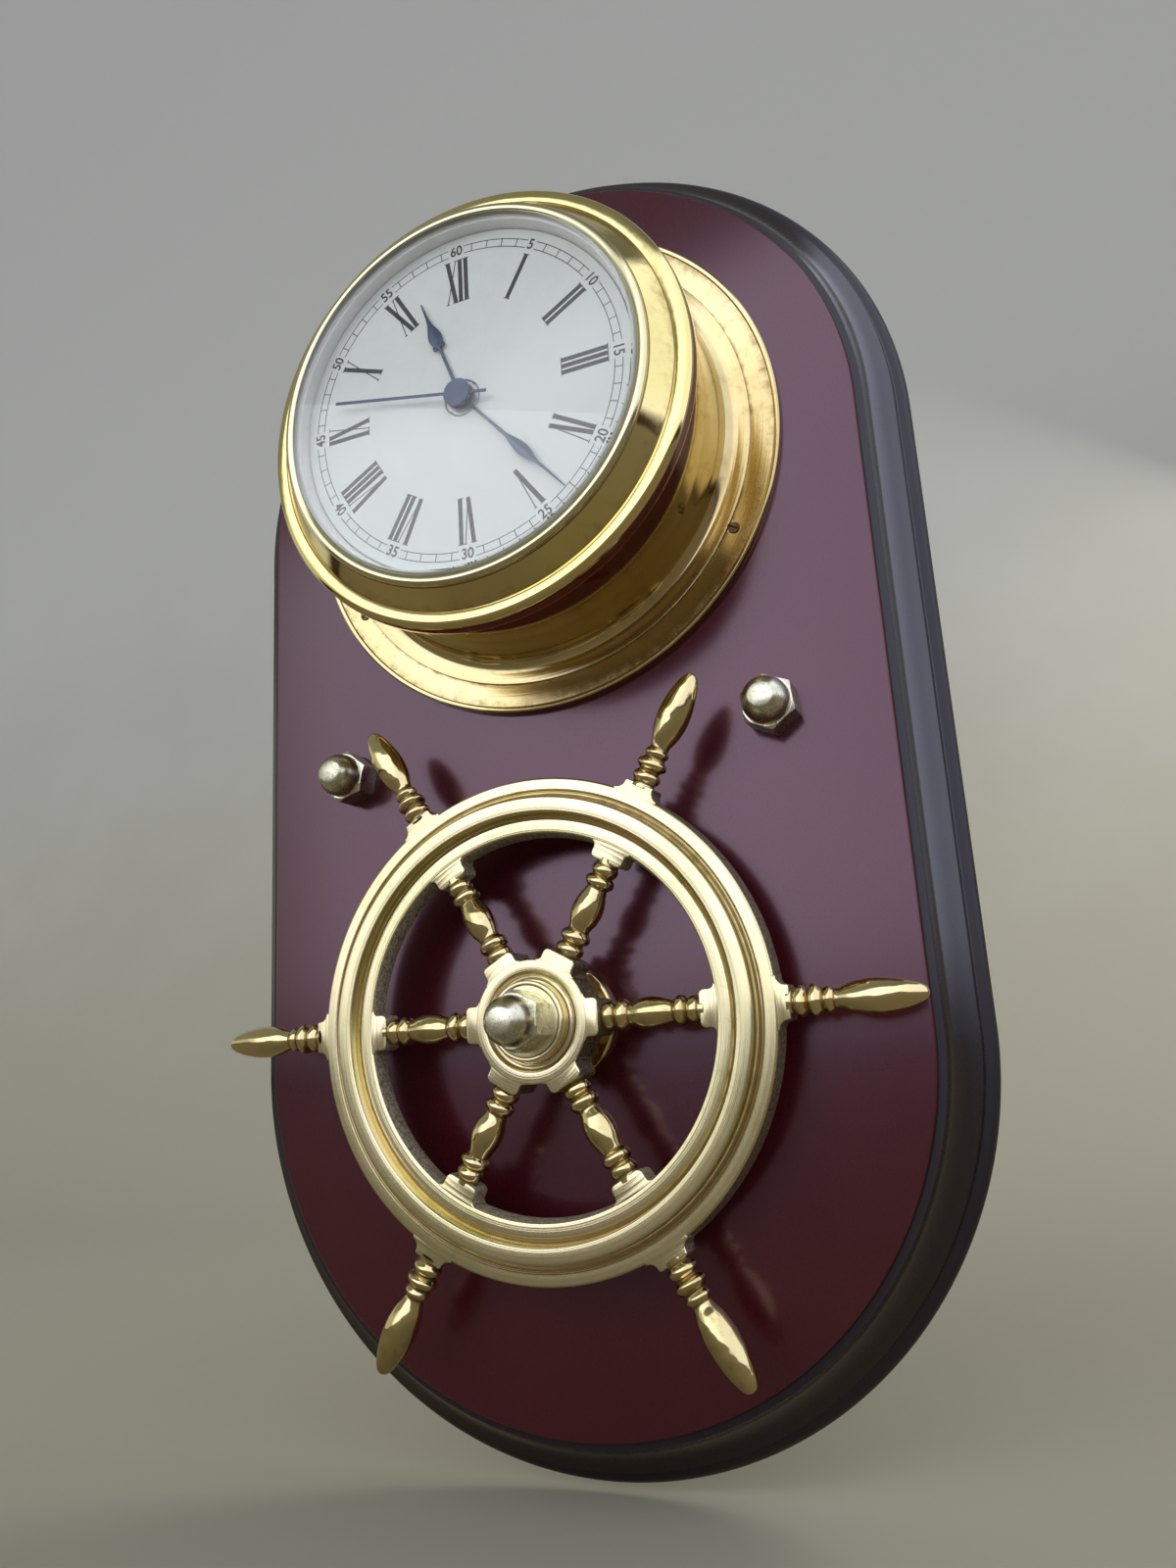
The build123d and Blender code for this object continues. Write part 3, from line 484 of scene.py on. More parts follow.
def spun(name, points, centre, axis, finish, steps):
    """A turned piece: a vertex drawn along the points, in metres, then spun about an axis."""
    bpy.ops.object.select_all(action="DESELECT")
    bpy.ops.mesh.primitive_plane_add(size=MM, location=points[0])
    obj = bpy.context.active_object
    obj.name = name
    bpy.ops.object.mode_set(mode="EDIT")
    bpy.ops.mesh.select_mode(type="VERT")
    bpy.ops.mesh.merge(type="CENTER")
    for here, there in zip(points, points[1:]):
        bpy.ops.mesh.extrude_vertices_move(
            TRANSFORM_OT_translate={"value": tuple(b - a for a, b in zip(here, there))}
        )
    bpy.ops.mesh.select_all(action="SELECT")
    bpy.ops.mesh.spin(steps=steps, angle=2 * pi, center=centre, axis=axis)
    bpy.ops.object.mode_set(mode="OBJECT")
    settle(obj)
    obj.data.materials.append(finish)
    clean(obj)
    return obj


def turned(name, outline, x, z, finish, steps=256, closed=True):
    """A piece turned about an axis square to the wall; a closed outline is a solid ring's."""
    points = [((x + r) * MM, -h * MM, z * MM) for r, h in outline]
    if closed:
        points.append(points[0])
    return spun(name, points, (x * MM, 0, z * MM), (0, -1, 0), finish, steps)


def edge_select(obj, wanted):
    """Select in edit mode the edges for which wanted(a, b) holds, a and b being their ends."""
    bpy.ops.object.mode_set(mode="OBJECT")
    for face in obj.data.polygons:
        face.select = False
    for vertex in obj.data.vertices:
        vertex.select = False
    for edge in obj.data.edges:
        a, b = (obj.data.vertices[i].co for i in edge.vertices)
        edge.select = wanted(a, b)
    bpy.ops.object.mode_set(mode="EDIT")
    bpy.ops.mesh.select_mode(type="EDGE")


def bevel_edges(obj, wanted, width, segments):
    """Round off the edges for which wanted(a, b) holds, over a width in millimetres."""
    pick(obj)
    bpy.ops.object.mode_set(mode="EDIT")
    edge_select(obj, wanted)
    bpy.ops.mesh.bevel(offset=width * MM, segments=segments, affect="EDGES")
    bpy.ops.object.mode_set(mode="OBJECT")


def six_round(name, obj):
    """The piece and its copies, one for each spoke, round the wheel's axis as one piece."""
    made = [obj]
    centre = Matrix.Translation((0, 0, WHEEL_Z * MM))
    for number in range(1, SPOKES):
        pick(obj)
        bpy.ops.object.duplicate()
        copy = bpy.context.active_object
        turn = Matrix.Rotation(-2 * pi * number / SPOKES, 4, "Y")
        copy.matrix_world = centre @ turn @ centre.inverted()
        settle(copy)
        made.append(copy)
    return united(name, *made)


def hollows(obj, strength=0.0011):
    """Mark how hollow the surface is at each vertex, for the grime that polishing leaves in grooves."""
    mesh = obj.data
    total = [0.0] * len(mesh.vertices)
    count = [0] * len(mesh.vertices)
    for edge in mesh.edges:
        for near, far in (edge.vertices, reversed(edge.vertices)):
            run = mesh.vertices[far].co - mesh.vertices[near].co
            total[near] += mesh.vertices[near].normal.dot(run) / max(run.length_squared, 1e-10)
            count[near] += 1
    depth = [min(max(strength * t / max(c, 1), 0.0), 1.0) for t, c in zip(total, count)]
    mark = mesh.attributes.new("hollow", "FLOAT", "POINT")
    mark.data.foreach_set("value", depth)


def united(name, *objs):
    """Several pieces made one object."""
    bpy.ops.object.select_all(action="DESELECT")
    for obj in objs:
        obj.select_set(True)
    bpy.context.view_layer.objects.active = objs[0]
    bpy.ops.object.join()
    objs[0].name = name
    return objs[0]


def cut(obj, tool, operation="DIFFERENCE"):
    """Cut obj with a tool piece, which is used up."""
    pick(obj)
    modifier = obj.modifiers.new("cut", "BOOLEAN")
    modifier.operation = operation
    modifier.solver = "EXACT"
    modifier.object = tool
    bpy.ops.object.modifier_apply(modifier=modifier.name)
    bpy.data.objects.remove(tool)


def plug(x, z, radius, low, high, stretch=0.0, steps=96):
    """A cutting tool: a round or slotted plug between two heights."""
    bpy.ops.object.select_all(action="DESELECT")
    bpy.ops.mesh.primitive_cylinder_add(
        vertices=steps,
        radius=radius * MM,
        depth=(high - low) * MM,
        location=(x * MM, -(low + high) / 2 * MM, z * MM),
        rotation=(pi / 2, 0, 0),
    )
    tool = bpy.context.active_object
    settle(tool)
    if stretch:
        drawn_out(tool, lambda place: place.z > z * MM + 1e-6, (0, 0, stretch))
    return tool


def drawn_out(obj, wanted, by):
    """Move the vertices for which wanted(place) holds, which draws a round outline out into a long one."""
    pick(obj)
    for face in obj.data.polygons:
        face.select = False
    for edge in obj.data.edges:
        edge.select = False
    for vertex in obj.data.vertices:
        vertex.select = wanted(vertex.co)
    bpy.ops.object.mode_set(mode="EDIT")
    bpy.ops.mesh.select_mode(type="VERT")
    bpy.ops.transform.translate(value=[step * MM for step in by])
    bpy.ops.object.mode_set(mode="OBJECT")


def plate(name, outline, low, high, finish, edge, segments=2):
    """A flat piece between two heights: its outline, (x, z) in millimetres, filled, thickened and eased."""
    bpy.ops.object.select_all(action="DESELECT")
    points = [Vector((x * MM, -high * MM, z * MM)) for x, z in outline]
    bpy.ops.mesh.primitive_plane_add(size=MM, location=points[0])
    obj = bpy.context.active_object
    obj.name = name
    bpy.ops.object.mode_set(mode="EDIT")
    bpy.ops.mesh.select_mode(type="VERT")
    bpy.ops.mesh.merge(type="CENTER")
    for here, there in zip(points, [*points[1:], points[0]]):
        bpy.ops.mesh.extrude_vertices_move(TRANSFORM_OT_translate={"value": there - here})
    bpy.ops.mesh.select_all(action="SELECT")
    bpy.ops.mesh.remove_doubles(threshold=2e-6)
    bpy.ops.mesh.edge_face_add()
    bpy.ops.mesh.extrude_region_move(TRANSFORM_OT_translate={"value": (0, (high - low) * MM, 0)})
    bpy.ops.mesh.select_all(action="SELECT")
    bpy.ops.mesh.normals_make_consistent(inside=False)
    bpy.ops.object.mode_set(mode="OBJECT")
    settle(obj)
    front = -high * MM
    bevel_edges(obj, lambda a, b: abs(a.y - front) < 1e-6 and abs(b.y - front) < 1e-6, edge, segments)
    obj.data.materials.append(finish)
    clean(obj, 40)
    return obj


def at_hour(x, y, clockwise):
    """A point drawn upright over 12 o'clock, carried round to its place by an angle in degrees."""
    a = radians(clockwise)
    return (x * cos(a) + y * sin(a), -x * sin(a) + y * cos(a))


def dress(obj, slot_name, body, *nodes):
    """Hide the nodes that a finished piece stands for and hang it on the body that it rides on; slot_name
    is not used.
    """
    if nodes:
        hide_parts(*nodes)
    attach(obj, body or "plaque")


# ---------------------------------------------------------------- moulded board

BORDER = 113.3  # the radius at which the moulded edge starts
BEAD = 3.6  # the radius of the edge's bead, next to the wall
cove = flowing([(115.9, 19.6), (117.5, 15.5), (120.7, 11.9), (124.7, 10.2)], 5)
board_outline = [
    (0, FACE),
    (60, FACE),
    *rounded([(100, FACE), (BORDER, FACE, 0.5), (BORDER + 0.5, 19.9, 0.3), (115.9, 19.6)], 3)[1:-1],
    *cove,
    *rounded([(124.7, 10.2), (125.2, 7.5, 0.4), (126.4, 7.3)], 3)[1:-1],
    *[(125.4 + BEAD * cos(a), BEAD + BEAD * sin(a)) for a in [radians(80 - 17 * n) for n in range(11)]],
    (60, 0),
    (0, 0),
]
board = turned("moulded_board", board_outline, 0, 0, lacquer, 288, closed=False)
drawn_out(board, lambda place: place.z > -1e-6, (0, 0, END_CENTRE))
drawn_out(board, lambda place: place.z < -1e-6, (0, 0, -END_CENTRE))

BEHIND = -5  # where a tool starts that cuts in from the back
REAR_OPENING = 42
COUNTERBORE, COUNTERBORE_DEPTH = 13, 10
KEYHOLE_Z, KEYHOLE_HEAD, KEYHOLE_NECK = 182, 4.8, 2.4
KEYHOLE_RISE, KEYHOLE_LIP, KEYHOLE_DEPTH = 13, 4, 11
cut(board, plug(0, CLOCK_Z, REAR_OPENING, BEHIND, FACE + 8, steps=128))
for x, z in ((-SIDE_NUT_X, SIDE_NUT_Z), (SIDE_NUT_X, SIDE_NUT_Z), (0, WHEEL_Z)):
    cut(board, plug(x, z, COUNTERBORE, BEHIND, COUNTERBORE_DEPTH))
cut(board, plug(0, KEYHOLE_Z, KEYHOLE_HEAD, BEHIND, KEYHOLE_DEPTH, steps=64))
cut(board, plug(0, KEYHOLE_Z, KEYHOLE_NECK, BEHIND, KEYHOLE_DEPTH - 0.01, stretch=KEYHOLE_RISE, steps=48))
undercut = (KEYHOLE_HEAD - 0.01, KEYHOLE_LIP, KEYHOLE_DEPTH - 0.02)
cut(board, plug(0, KEYHOLE_Z, *undercut, stretch=KEYHOLE_RISE, steps=64))
clean(board, 30)
board.data.materials.append(moulding_lacquer)
for face in board.data.polygons:
    above = max(abs(face.center.z) - END_CENTRE * MM, 0.0)
    if hypot(face.center.x, above) > (BORDER + 0.4) * MM:
        face.material_index = 1
dress(board, "board_lacquer", None, "plaque_board")

# ---------------------------------------------------------------- wheel casting

BAND = 3.0  # the raised band, over the rim's front
RIM_FRONT = front("wheel_casting") - BAND
RIM_BACK = RIM_FRONT - 8.0
HUB_BACK, HUB_FRONT = back("hub_bush"), front("hub_bush")


def over(base, *points):
    """Outline points whose heights are given over a base height."""
    return [(radius, base + height, *rest) for radius, height, *rest in points]


rim_outline = [
    *rounded(
        [(56.3, RIM_BACK, 0.6), *over(RIM_FRONT, (57.6, 0, 0.5), (61.6, 0, 0.1), (61.8, -0.5))], 3
    )[:-1],
    *flowing(over(RIM_FRONT, (61.9, -0.6), (62.4, -1.3), (62.9, -1.1), (63.3, 0.2)), 3),
    *rounded(over(RIM_FRONT, (63.5, 1), (63.9, BAND, 0.5), (68.5, BAND, 0.5), (68.7, 1)), 4)[1:-1],
    *rounded(over(RIM_FRONT, (68.6, 1.2), (68.8, 0, 0.15), (69.1, 0)), 2)[1:-1],
    *flowing(over(RIM_FRONT, (69.0, -0.3), (69.5, -0.95), (70.0, -0.8), (70.5, -0.15)), 3),
    *flowing(over(RIM_FRONT, (70.6, -0.1), (71.0, -0.35), (71.5, 0)), 2),
    *rounded([*over(RIM_FRONT, (72, 0), (75.0, 0, 0.8)), (75.7, RIM_BACK, 0.6), (60, RIM_BACK)], 4)[1:-1],
]
rim = turned("rim", rim_outline, 0, WHEEL_Z, wheel_brass, 288)

HUB_BORE, HUB_RADIUS = 7.05, 18.5
hub_corners = [
    (HUB_BORE, HUB_BACK),
    (HUB_RADIUS, HUB_BACK, 0.5),
    (HUB_RADIUS, HUB_FRONT, 0.5),
    (15.1, HUB_FRONT, 0.15),
]
hub_outline = [
    *rounded(hub_corners, 3),
    *flowing(over(HUB_FRONT, (14.9, -0.4), (14.3, -1.2), (13.4, -1.5), (12.5, -1.1)), 3),
    *over(HUB_FRONT, (12.3, 0), (HUB_BORE, 0)),
]
hub = turned("hub", hub_outline, 0, WHEEL_Z, wheel_brass, 144)


def tabs(name, base, end, half_width, fillet, corner, low, high):
    """Six flat tabs of the casting that grow from a ring by fillets, between the heights low and high."""
    sunk = 1.6
    root = base - sunk if end > base else base + sunk
    wide = half_width + fillet + 0.02
    side = [(root, -wide), (base, -wide), (base, -half_width, fillet), (end, -half_width, corner)]
    outline = rounded(side + [(x, -z, *rest) for x, z, *rest in reversed(side)], 4)
    one = plate(name, [(x, WHEEL_Z + z) for x, z in outline], low, high, wheel_brass, 0.35, 3)
    return six_round(name, one)


at_rim = (RIM_BACK + 0.1, RIM_FRONT - 0.04)
at_hub = (HUB_BACK + 0.1, HUB_FRONT - 0.04)
outer_tabs = tabs("outer_tabs", 75.1, 78.6, 4.9, 2.6, 0.7, *at_rim)
inner_tabs = tabs("inner_tabs", 56.9, 52.4, 5.5, 1.3, 1.7, *at_rim)
lobes = tabs("lobes", 17.5, 21.9, 5.6, 1.2, 1.6, *at_hub)

SPOKE_HEIGHT = 41.6
spoke_outline = flowing(
    [
        (20.5, 3.6), (22.0, 3.5), (22.4, 3.75), (23.0, 4.15), (24.0, 4.4), (25.0, 4.1), (25.7, 3.4),
        (26.0, 3.25), (26.3, 3.5), (27.0, 4.35), (28.05, 4.7), (29.1, 4.35), (29.9, 3.6), (30.4, 3.3),
        (31.6, 3.55), (34.0, 4.45), (37.0, 4.8), (40.0, 4.45), (42.8, 3.6), (44.1, 3.25),
        (44.5, 3.5), (45.3, 4.3), (46.3, 4.6), (47.3, 4.25), (48.0, 3.4),
        (48.3, 3.25), (48.6, 3.5), (49.4, 4.0), (50.2, 4.15), (51.1, 3.95), (51.9, 3.5), (53.6, 3.4),
    ],
    3,
)
handle_outline = flowing(
    [
        (77.6, 3.9), (78.6, 3.7), (79.2, 3.4), (79.7, 3.7), (80.4, 4.25), (81.2, 4.45), (82.1, 4.2),
        (83.0, 3.35), (83.4, 3.25), (83.8, 3.6), (84.5, 4.55), (85.3, 4.8), (86.2, 4.45), (87.2, 3.4),
        (87.7, 3.2), (88.2, 3.45), (88.9, 3.8), (89.6, 3.7), (90.4, 3.1), (91.1, 2.9), (92.4, 3.2),
        (95.0, 4.2), (98.0, 4.85), (101.0, 5.1), (105.0, 4.9), (109.0, 4.2), (112.0, 3.35), (114.3, 2.4),
        (115.5, 1.45), (116.0, 0.0),
    ],
    3,
)


def arm(name, outline):
    """A turned bar along +X from the wheel's middle."""
    points = [(x * MM, -SPOKE_HEIGHT * MM, (WHEEL_Z + r) * MM) for x, r in outline]
    return spun(name, points, (0, -SPOKE_HEIGHT * MM, WHEEL_Z * MM), (1, 0, 0), handle_brass, 48)


spokes = six_round("spokes", arm("spoke", spoke_outline))
handles = six_round("handles", arm("handle", handle_outline))
casting = united("ships_wheel_casting", rim, hub, outer_tabs, inner_tabs, lobes)
hollows(casting, 0.0016)
turned_arms = united("ships_wheel_arms", spokes, handles)
hollows(turned_arms, 0.006)
dress(casting, "wheel_brass", "ships_wheel", "wheel_casting")
dress(turned_arms, "wheel_brass", "ships_wheel")

# ---------------------------------------------------------------- hub disc, post and dome nuts

SPINDLE_HOLE = 5.25
DISC_BACK, DISC_FRONT = back("hub_disc"), front("hub_disc")
disc_outline = rounded(
    [
        (SPINDLE_HOLE, DISC_BACK),
        (12.0, DISC_BACK, 0.3),
        *over(DISC_FRONT, (12.0, 0, 0.5), (10.9, 0, 0.1), (10.7, -0.3), (10.4, 0, 0.1), (SPINDLE_HOLE, 0)),
    ],
    3,
)
disc = turned("hub_washer", disc_outline, 0, WHEEL_Z, wheel_brass, 128)
hollows(disc)
dress(disc, "wheel_brass", None, "hub_disc")

post_outline = [
    (SPINDLE_HOLE, FACE),
    *rounded([(10, FACE), (18, FACE, 0.3), (18, 24.6, 1.0), (14.5, 24.6)], 4)[1:-1],
    *flowing([(15.2, 24.7), (12.0, 25.4), (10.1, 27.0), (9.1, 29.4), (9.0, 31.5)], 4),
    *flowing([(9.2, 31.9), (10.6, 32.2), (11.6, 33.35), (10.6, 34.5), (9.4, 34.85)], 4),
    (SPINDLE_HOLE, front("wheel_post")),
]
post = turned("turned_post", post_outline, 0, WHEEL_Z, handle_brass, 128)
hollows(post)
dress(post, "wheel_brass", None, "wheel_post")

HEX_HEIGHT = 9.4


def dome_nut(x, z, base, turn):
    """One cap nut: a hexagon with its corners turned off, under a dome with a flattened tip."""
    bpy.ops.object.select_all(action="DESELECT")
    bpy.ops.mesh.primitive_cylinder_add(
        vertices=6,
        radius=NUT_CORNER * MM,
        depth=HEX_HEIGHT * MM,
        location=(x * MM, -(base + HEX_HEIGHT / 2) * MM, z * MM),
        rotation=(pi / 2, radians(turn), 0),
    )
    hexagon = bpy.context.active_object
    settle(hexagon)
    bevel_edges(hexagon, lambda a, b: abs(a.x - b.x) < 1e-6 and abs(a.z - b.z) < 1e-6, 0.25, 2)
    top = base + HEX_HEIGHT
    chamfer = rounded([(0, base), (8.9, base), (9.6, base + 0.5), (9.6, top - 0.9), (8.0, top), (0, top)])
    cone = turned("cone", chamfer, x, z, plating, 96, closed=False)
    cut(hexagon, cone, "INTERSECT")
    hexagon.data.materials.append(plating)
    clean(hexagon, 25)
    side = [(7.5, 9.0), (7.5, 10.0), (7.4, 11.6), (6.85, 13.7), (5.8, 15.6), (4.9, 16.7), (4.3, 17.3)]
    tip = [(4.0, 17.5), (3.6, 17.62), (2.0, 17.87), (0.7, 17.98), (0, 18.0)]
    dome = flowing(over(base, *side), 3) + over(base, *tip)
    cap = turned("cap", dome, x, z, plating, 96, closed=False)
    return united("nut", hexagon, cap)


nuts = united(
    "domed_cap_nuts",
    dome_nut(-SIDE_NUT_X, SIDE_NUT_Z, FACE, 12),
    dome_nut(SIDE_NUT_X, SIDE_NUT_Z, FACE, -6),
    dome_nut(0, WHEEL_Z, DISC_FRONT, 0),
)
dress(nuts, "nut_plating", None, "dome_nuts")

# ---------------------------------------------------------------- clock case

DRUM_BORE, DRUM_RADIUS, DRUM_FRONT = 69.3, 71.5, 66.0
NECK_RADIUS, NECK_FRONT = 66.4, front("clock_case")
DIAL_OPENING, SHELF = 57.5, 63.6
flange_edge = over(
    FACE, (80, 0), (90, 0, 0.3), (90, 3.3, 0.5), (89.4, 3.7, 0.4), (88.3, 3.6, 0.3), (88.0, 3.0), (86, 3)
)
flange_outline = [
    (DRUM_BORE, FACE),
    *rounded(flange_edge, 3)[1:-1],
    (82, 25.0),
    *rounded([(81, 25), (80.3, 25.0), (80.3, 26.0, 0.3), (77, 26)], 3)[1:-1],
    *flowing([(76.4, 26.0), (74.2, 26.5), (72.4, 28.2), (71.6, 30.6), (DRUM_RADIUS, 31.4)], 5),
]
drum_outline = [
    (DRUM_RADIUS, 45),
    *rounded([(DRUM_RADIUS, 60), (DRUM_RADIUS, DRUM_FRONT, 0.3), (NECK_RADIUS, DRUM_FRONT)], 3)[1:-1],
    (NECK_RADIUS, DRUM_FRONT),
    (NECK_RADIUS, NECK_FRONT),
    (DIAL_OPENING, NECK_FRONT),
    (DIAL_OPENING, SHELF),
    (DRUM_BORE, SHELF),
]
case = turned("brass_case", flange_outline + drum_outline, 0, CLOCK_Z, case_brass, 320)
case.data.materials.append(flange_brass)
FLANGE_INNER, FLANGE_HEIGHT = 72.2, 30  # the flange's own finish lies outside and under these
for face in case.data.polygons:
    radius = hypot(face.center.x, face.center.z - CLOCK_Z * MM) / MM
    if radius > FLANGE_INNER and -face.center.y / MM < FLANGE_HEIGHT:
        face.material_index = 1

SCREWS, SCREW_CIRCLE, SCREW_RADIUS, SCREW_SEAT = 3, 82, 2.0, 24.4
for number in range(SCREWS):
    angle = radians(90 + 360 / SCREWS * number)
    x, z = SCREW_CIRCLE * cos(angle), SCREW_CIRCLE * sin(angle)
    cut(case, plug(x, CLOCK_Z + z, SCREW_RADIUS, SCREW_SEAT, FLANGE_HEIGHT, steps=32))
clean(case, 30)
hollows(case)
dress(case, "case_brass", None, "clock_case")

# ---------------------------------------------------------------- bezel and glass

BEZEL_BACK, BEZEL_RADIUS = back("bezel_ring"), 75.4
BEZEL_BORE = NECK_RADIUS + 0.1
band_corners = [
    (70, BEZEL_BACK),
    (BEZEL_RADIUS, BEZEL_BACK, 0.5),
    (BEZEL_RADIUS, 72.45, 2.5),
    (70.5, 72.75),
    (70.2, 72.6),
]
bezel_outline = [
    (BEZEL_BORE, BEZEL_BACK),
    *rounded(band_corners, 6)[1:-1],
    *rounded([(70.2, 72.6), (70.0, 72.75, 0.05), (64.9, 79.0, 0.2), (64.2, 79.6)], 3)[:-1],
    *flowing([(64.6, 79.5), (64.4, 80.5), (63.7, 81.2), (62.9, 81.35), (62.0, 81.2), (61.3, 80.75)], 4),
    (61.2, 80.41),
    (63.3, 79.65),
    (63.3, 71.55),
    (BEZEL_BORE, 71.55),
]
bezel = turned("bezel_rim", bezel_outline, 0, CLOCK_Z, bezel_brass, 320)
bezel.data.materials.append(lip_brass)
LIP_BACK = 79.05
for face in bezel.data.polygons:
    if -face.center.y / MM > LIP_BACK:
        face.material_index = 1
hollows(bezel)
dress(bezel, "case_brass", "bezel", "bezel_ring")

GLASS_BACK, GLASS_FRONT = back("dial_glass"), front("dial_glass")
FLARE_EDGE = GLASS_BACK + 1.4  # over it the glass's bevelled edge is pale and opaque: a painted highlight
pane_outline = [
    (0, GLASS_BACK),
    (63.2, GLASS_BACK),
    *over(GLASS_BACK, (63.2, 0.6), (61.1, 1.3), (60.7, 2.9)),
    (60.2, GLASS_FRONT),
    (0, GLASS_FRONT),
]
pane = turned("bevelled_glass", pane_outline, 0, CLOCK_Z, glass, 256, closed=False)
clean(pane, 10)
pane.data.materials.append(edge_flare_finish)
for face in pane.data.polygons:
    if abs(face.normal.y) < 0.8 and -face.center.y / MM > FLARE_EDGE:
        face.material_index = 1
dress(pane, "dial_crystal", "bezel", "dial_glass")

REFLECTOR_FRONT = front("reflector_ring")
reflector_outline = [
    (58.6, PLATE_FACE),
    (60.1, PLATE_FACE),
    (60.4, 78.3),
    (63.1, 78.5),
    (63.1, REFLECTOR_FRONT),
    (60.3, REFLECTOR_FRONT),
    (59.7, 78.4),
]
reflector = turned("white_reflector", reflector_outline, 0, CLOCK_Z, white, 256)
dress(reflector, "reflector_white", None, "reflector_ring")

# ---------------------------------------------------------------- dial marks

CARD_HOLE, CARD_RADIUS = 6.3, 58.5
card_outline = [
    *rounded([(CARD_HOLE, PLATE_FACE), (CARD_RADIUS, PLATE_FACE), (CARD_RADIUS, DIAL_FACE, 0.2)], 3),
    *rounded([(CARD_RADIUS - 1, DIAL_FACE), (CARD_HOLE, DIAL_FACE, 0.2), (CARD_HOLE, PLATE_FACE)], 3)[1:-1],
]
card = turned("dial_card", card_outline, 0, CLOCK_Z, silver, 256)
dress(card, "dial_silver", None)

INK_LIFT = 0.03  # of the print over the card
SERIF_LIFT, COVER_LIFT, NUMBER_LIFT = INK_LIFT + 0.012, INK_LIFT + 0.02, INK_LIFT + 0.05


def flat_ring(name, inner, outer):
    """A printed circle on the dial."""
    height = DIAL_FACE + INK_LIFT
    return turned(name, [(inner, height), (outer, height)], 0, CLOCK_Z, ink, 360, closed=False)


def stroke(start, end, width, lift=INK_LIFT):
    """A straight printed stroke between two points of the dial, from its middle in millimetres."""
    run = Vector(end) - Vector(start)
    middle = (Vector(start) + Vector(end)) / 2
    bpy.ops.object.select_all(action="DESELECT")
    bpy.ops.mesh.primitive_plane_add(
        size=1,
        location=(middle.x * MM, -(DIAL_FACE + lift) * MM, (CLOCK_Z + middle.y) * MM),
        rotation=(pi / 2, -atan2(run.y, run.x), 0),
    )
    obj = bpy.context.active_object
    obj.scale = (run.length * MM, width * MM, 1)
    settle(obj)
    return obj


NUMERALS = ["XII", "I", "II", "III", "IV", "V", "VI", "VII", "VIII", "IX", "X", "XI"]
ROMAN_FOOT, ROMAN_HEAD = 34.8, 50.3
LETTER_WIDTH = {"I": 2.1, "V": 4.0, "X": 4.2}
THICK, THIN, SERIF = 1.5, 0.36, 0.3
LETTER_MARGIN, SERIF_REACH = 0.3, 0.42
LETTER_STROKES = {
    "I": [((0, 1), (0, -1), THICK)],
    "V": [((-0.8, 1), (0.12, -1), THICK), ((0.95, 1), (0.12, -1), THIN)],
    "X": [((-0.75, 1), (0.75, -1), THICK), ((0.9, 1), (-0.9, -1), THIN)],
}
centre_y, half_height = (ROMAN_FOOT + ROMAN_HEAD) / 2, (ROMAN_HEAD - ROMAN_FOOT) / 2
marks = []
for hour, letters in enumerate(NUMERALS):
    left = -sum(LETTER_WIDTH[letter] for letter in letters) / 2
    for letter in letters:
        middle = left + LETTER_WIDTH[letter] / 2
        reach = LETTER_WIDTH[letter] / 2 - LETTER_MARGIN
        for (x1, y1), (x2, y2), thick in LETTER_STROKES[letter]:
            ends = [(middle + x * reach, centre_y + y * half_height) for x, y in ((x1, y1), (x2, y2))]
            start, end = (at_hour(*place, hour * 30) for place in ends)
            marks.append(stroke(start, end, thick, INK_LIFT + 0.003 * (len(marks) % 3)))
            for x, y in ends[: 1 if letter == "V" else 2]:
                half = thick / 2 + SERIF_REACH
                start, end = at_hour(x - half, y, hour * 30), at_hour(x + half, y, hour * 30)
                marks.append(stroke(start, end, SERIF, SERIF_LIFT))
        left += LETTER_WIDTH[letter]
TRACK_INNER, TRACK_OUTER, TICK = 52.4, 55.0, 0.3
for minute in range(60):
    if minute % 5:
        start, end = at_hour(0, TRACK_INNER, minute * 6), at_hour(0, TRACK_OUTER, minute * 6)
        marks.append(stroke(start, end, TICK))
for obj in marks:
    obj.data.materials.append(ink)
dress(united("roman_numerals", *marks), "dial_silver", None)

outer_circle = flat_ring("outer", TRACK_OUTER - 0.12, TRACK_OUTER + 0.16)
inner_circle = flat_ring("inner", TRACK_INNER - 0.16, TRACK_INNER + 0.12)
dress(united("minute_track", outer_circle, inner_circle), "dial_silver", None)
covers = []
numbers = []
NUMBER_REACH = 53.7
NUMBER_SIZE, NUMBER_WIDTH, NUMBER_WEIGHT = 4.9, 0.9, 0.022
GAP_WIDTH = 3.6
for hour in range(12):
    centre = at_hour(0, NUMBER_REACH, hour * 30)
    half_gap = 1.7 if hour == 1 else 2.9  # the 5 has one digit
    upright = hour * 30 + (180 if 3 < hour < 9 else 0)
    start, end = (at_hour(side * half_gap, NUMBER_REACH, hour * 30) for side in (-1, 1))
    covers.append(stroke(start, end, GAP_WIDTH, COVER_LIFT))
    bpy.ops.object.select_all(action="DESELECT")
    bpy.ops.object.text_add(
        location=(centre[0] * MM, -(DIAL_FACE + NUMBER_LIFT) * MM, (CLOCK_Z + centre[1]) * MM),
        rotation=(pi / 2, radians(upright), 0),
    )
    number = bpy.context.active_object
    number.data.body = str(hour * 5 or 60)
    number.data.align_x = "CENTER"
    number.data.align_y = "CENTER"
    number.data.offset = NUMBER_WEIGHT
    number.scale = (NUMBER_SIZE * MM * NUMBER_WIDTH, NUMBER_SIZE * MM, 1)
    bpy.ops.object.convert(target="MESH")
    settle(number)
    number.data.materials.append(ink)
    numbers.append(number)
for obj in covers:
    obj.data.materials.append(silver)
dress(united("track_gaps", *covers), "dial_silver", None)
dress(united("minute_numbers", *numbers), "dial_silver", None)

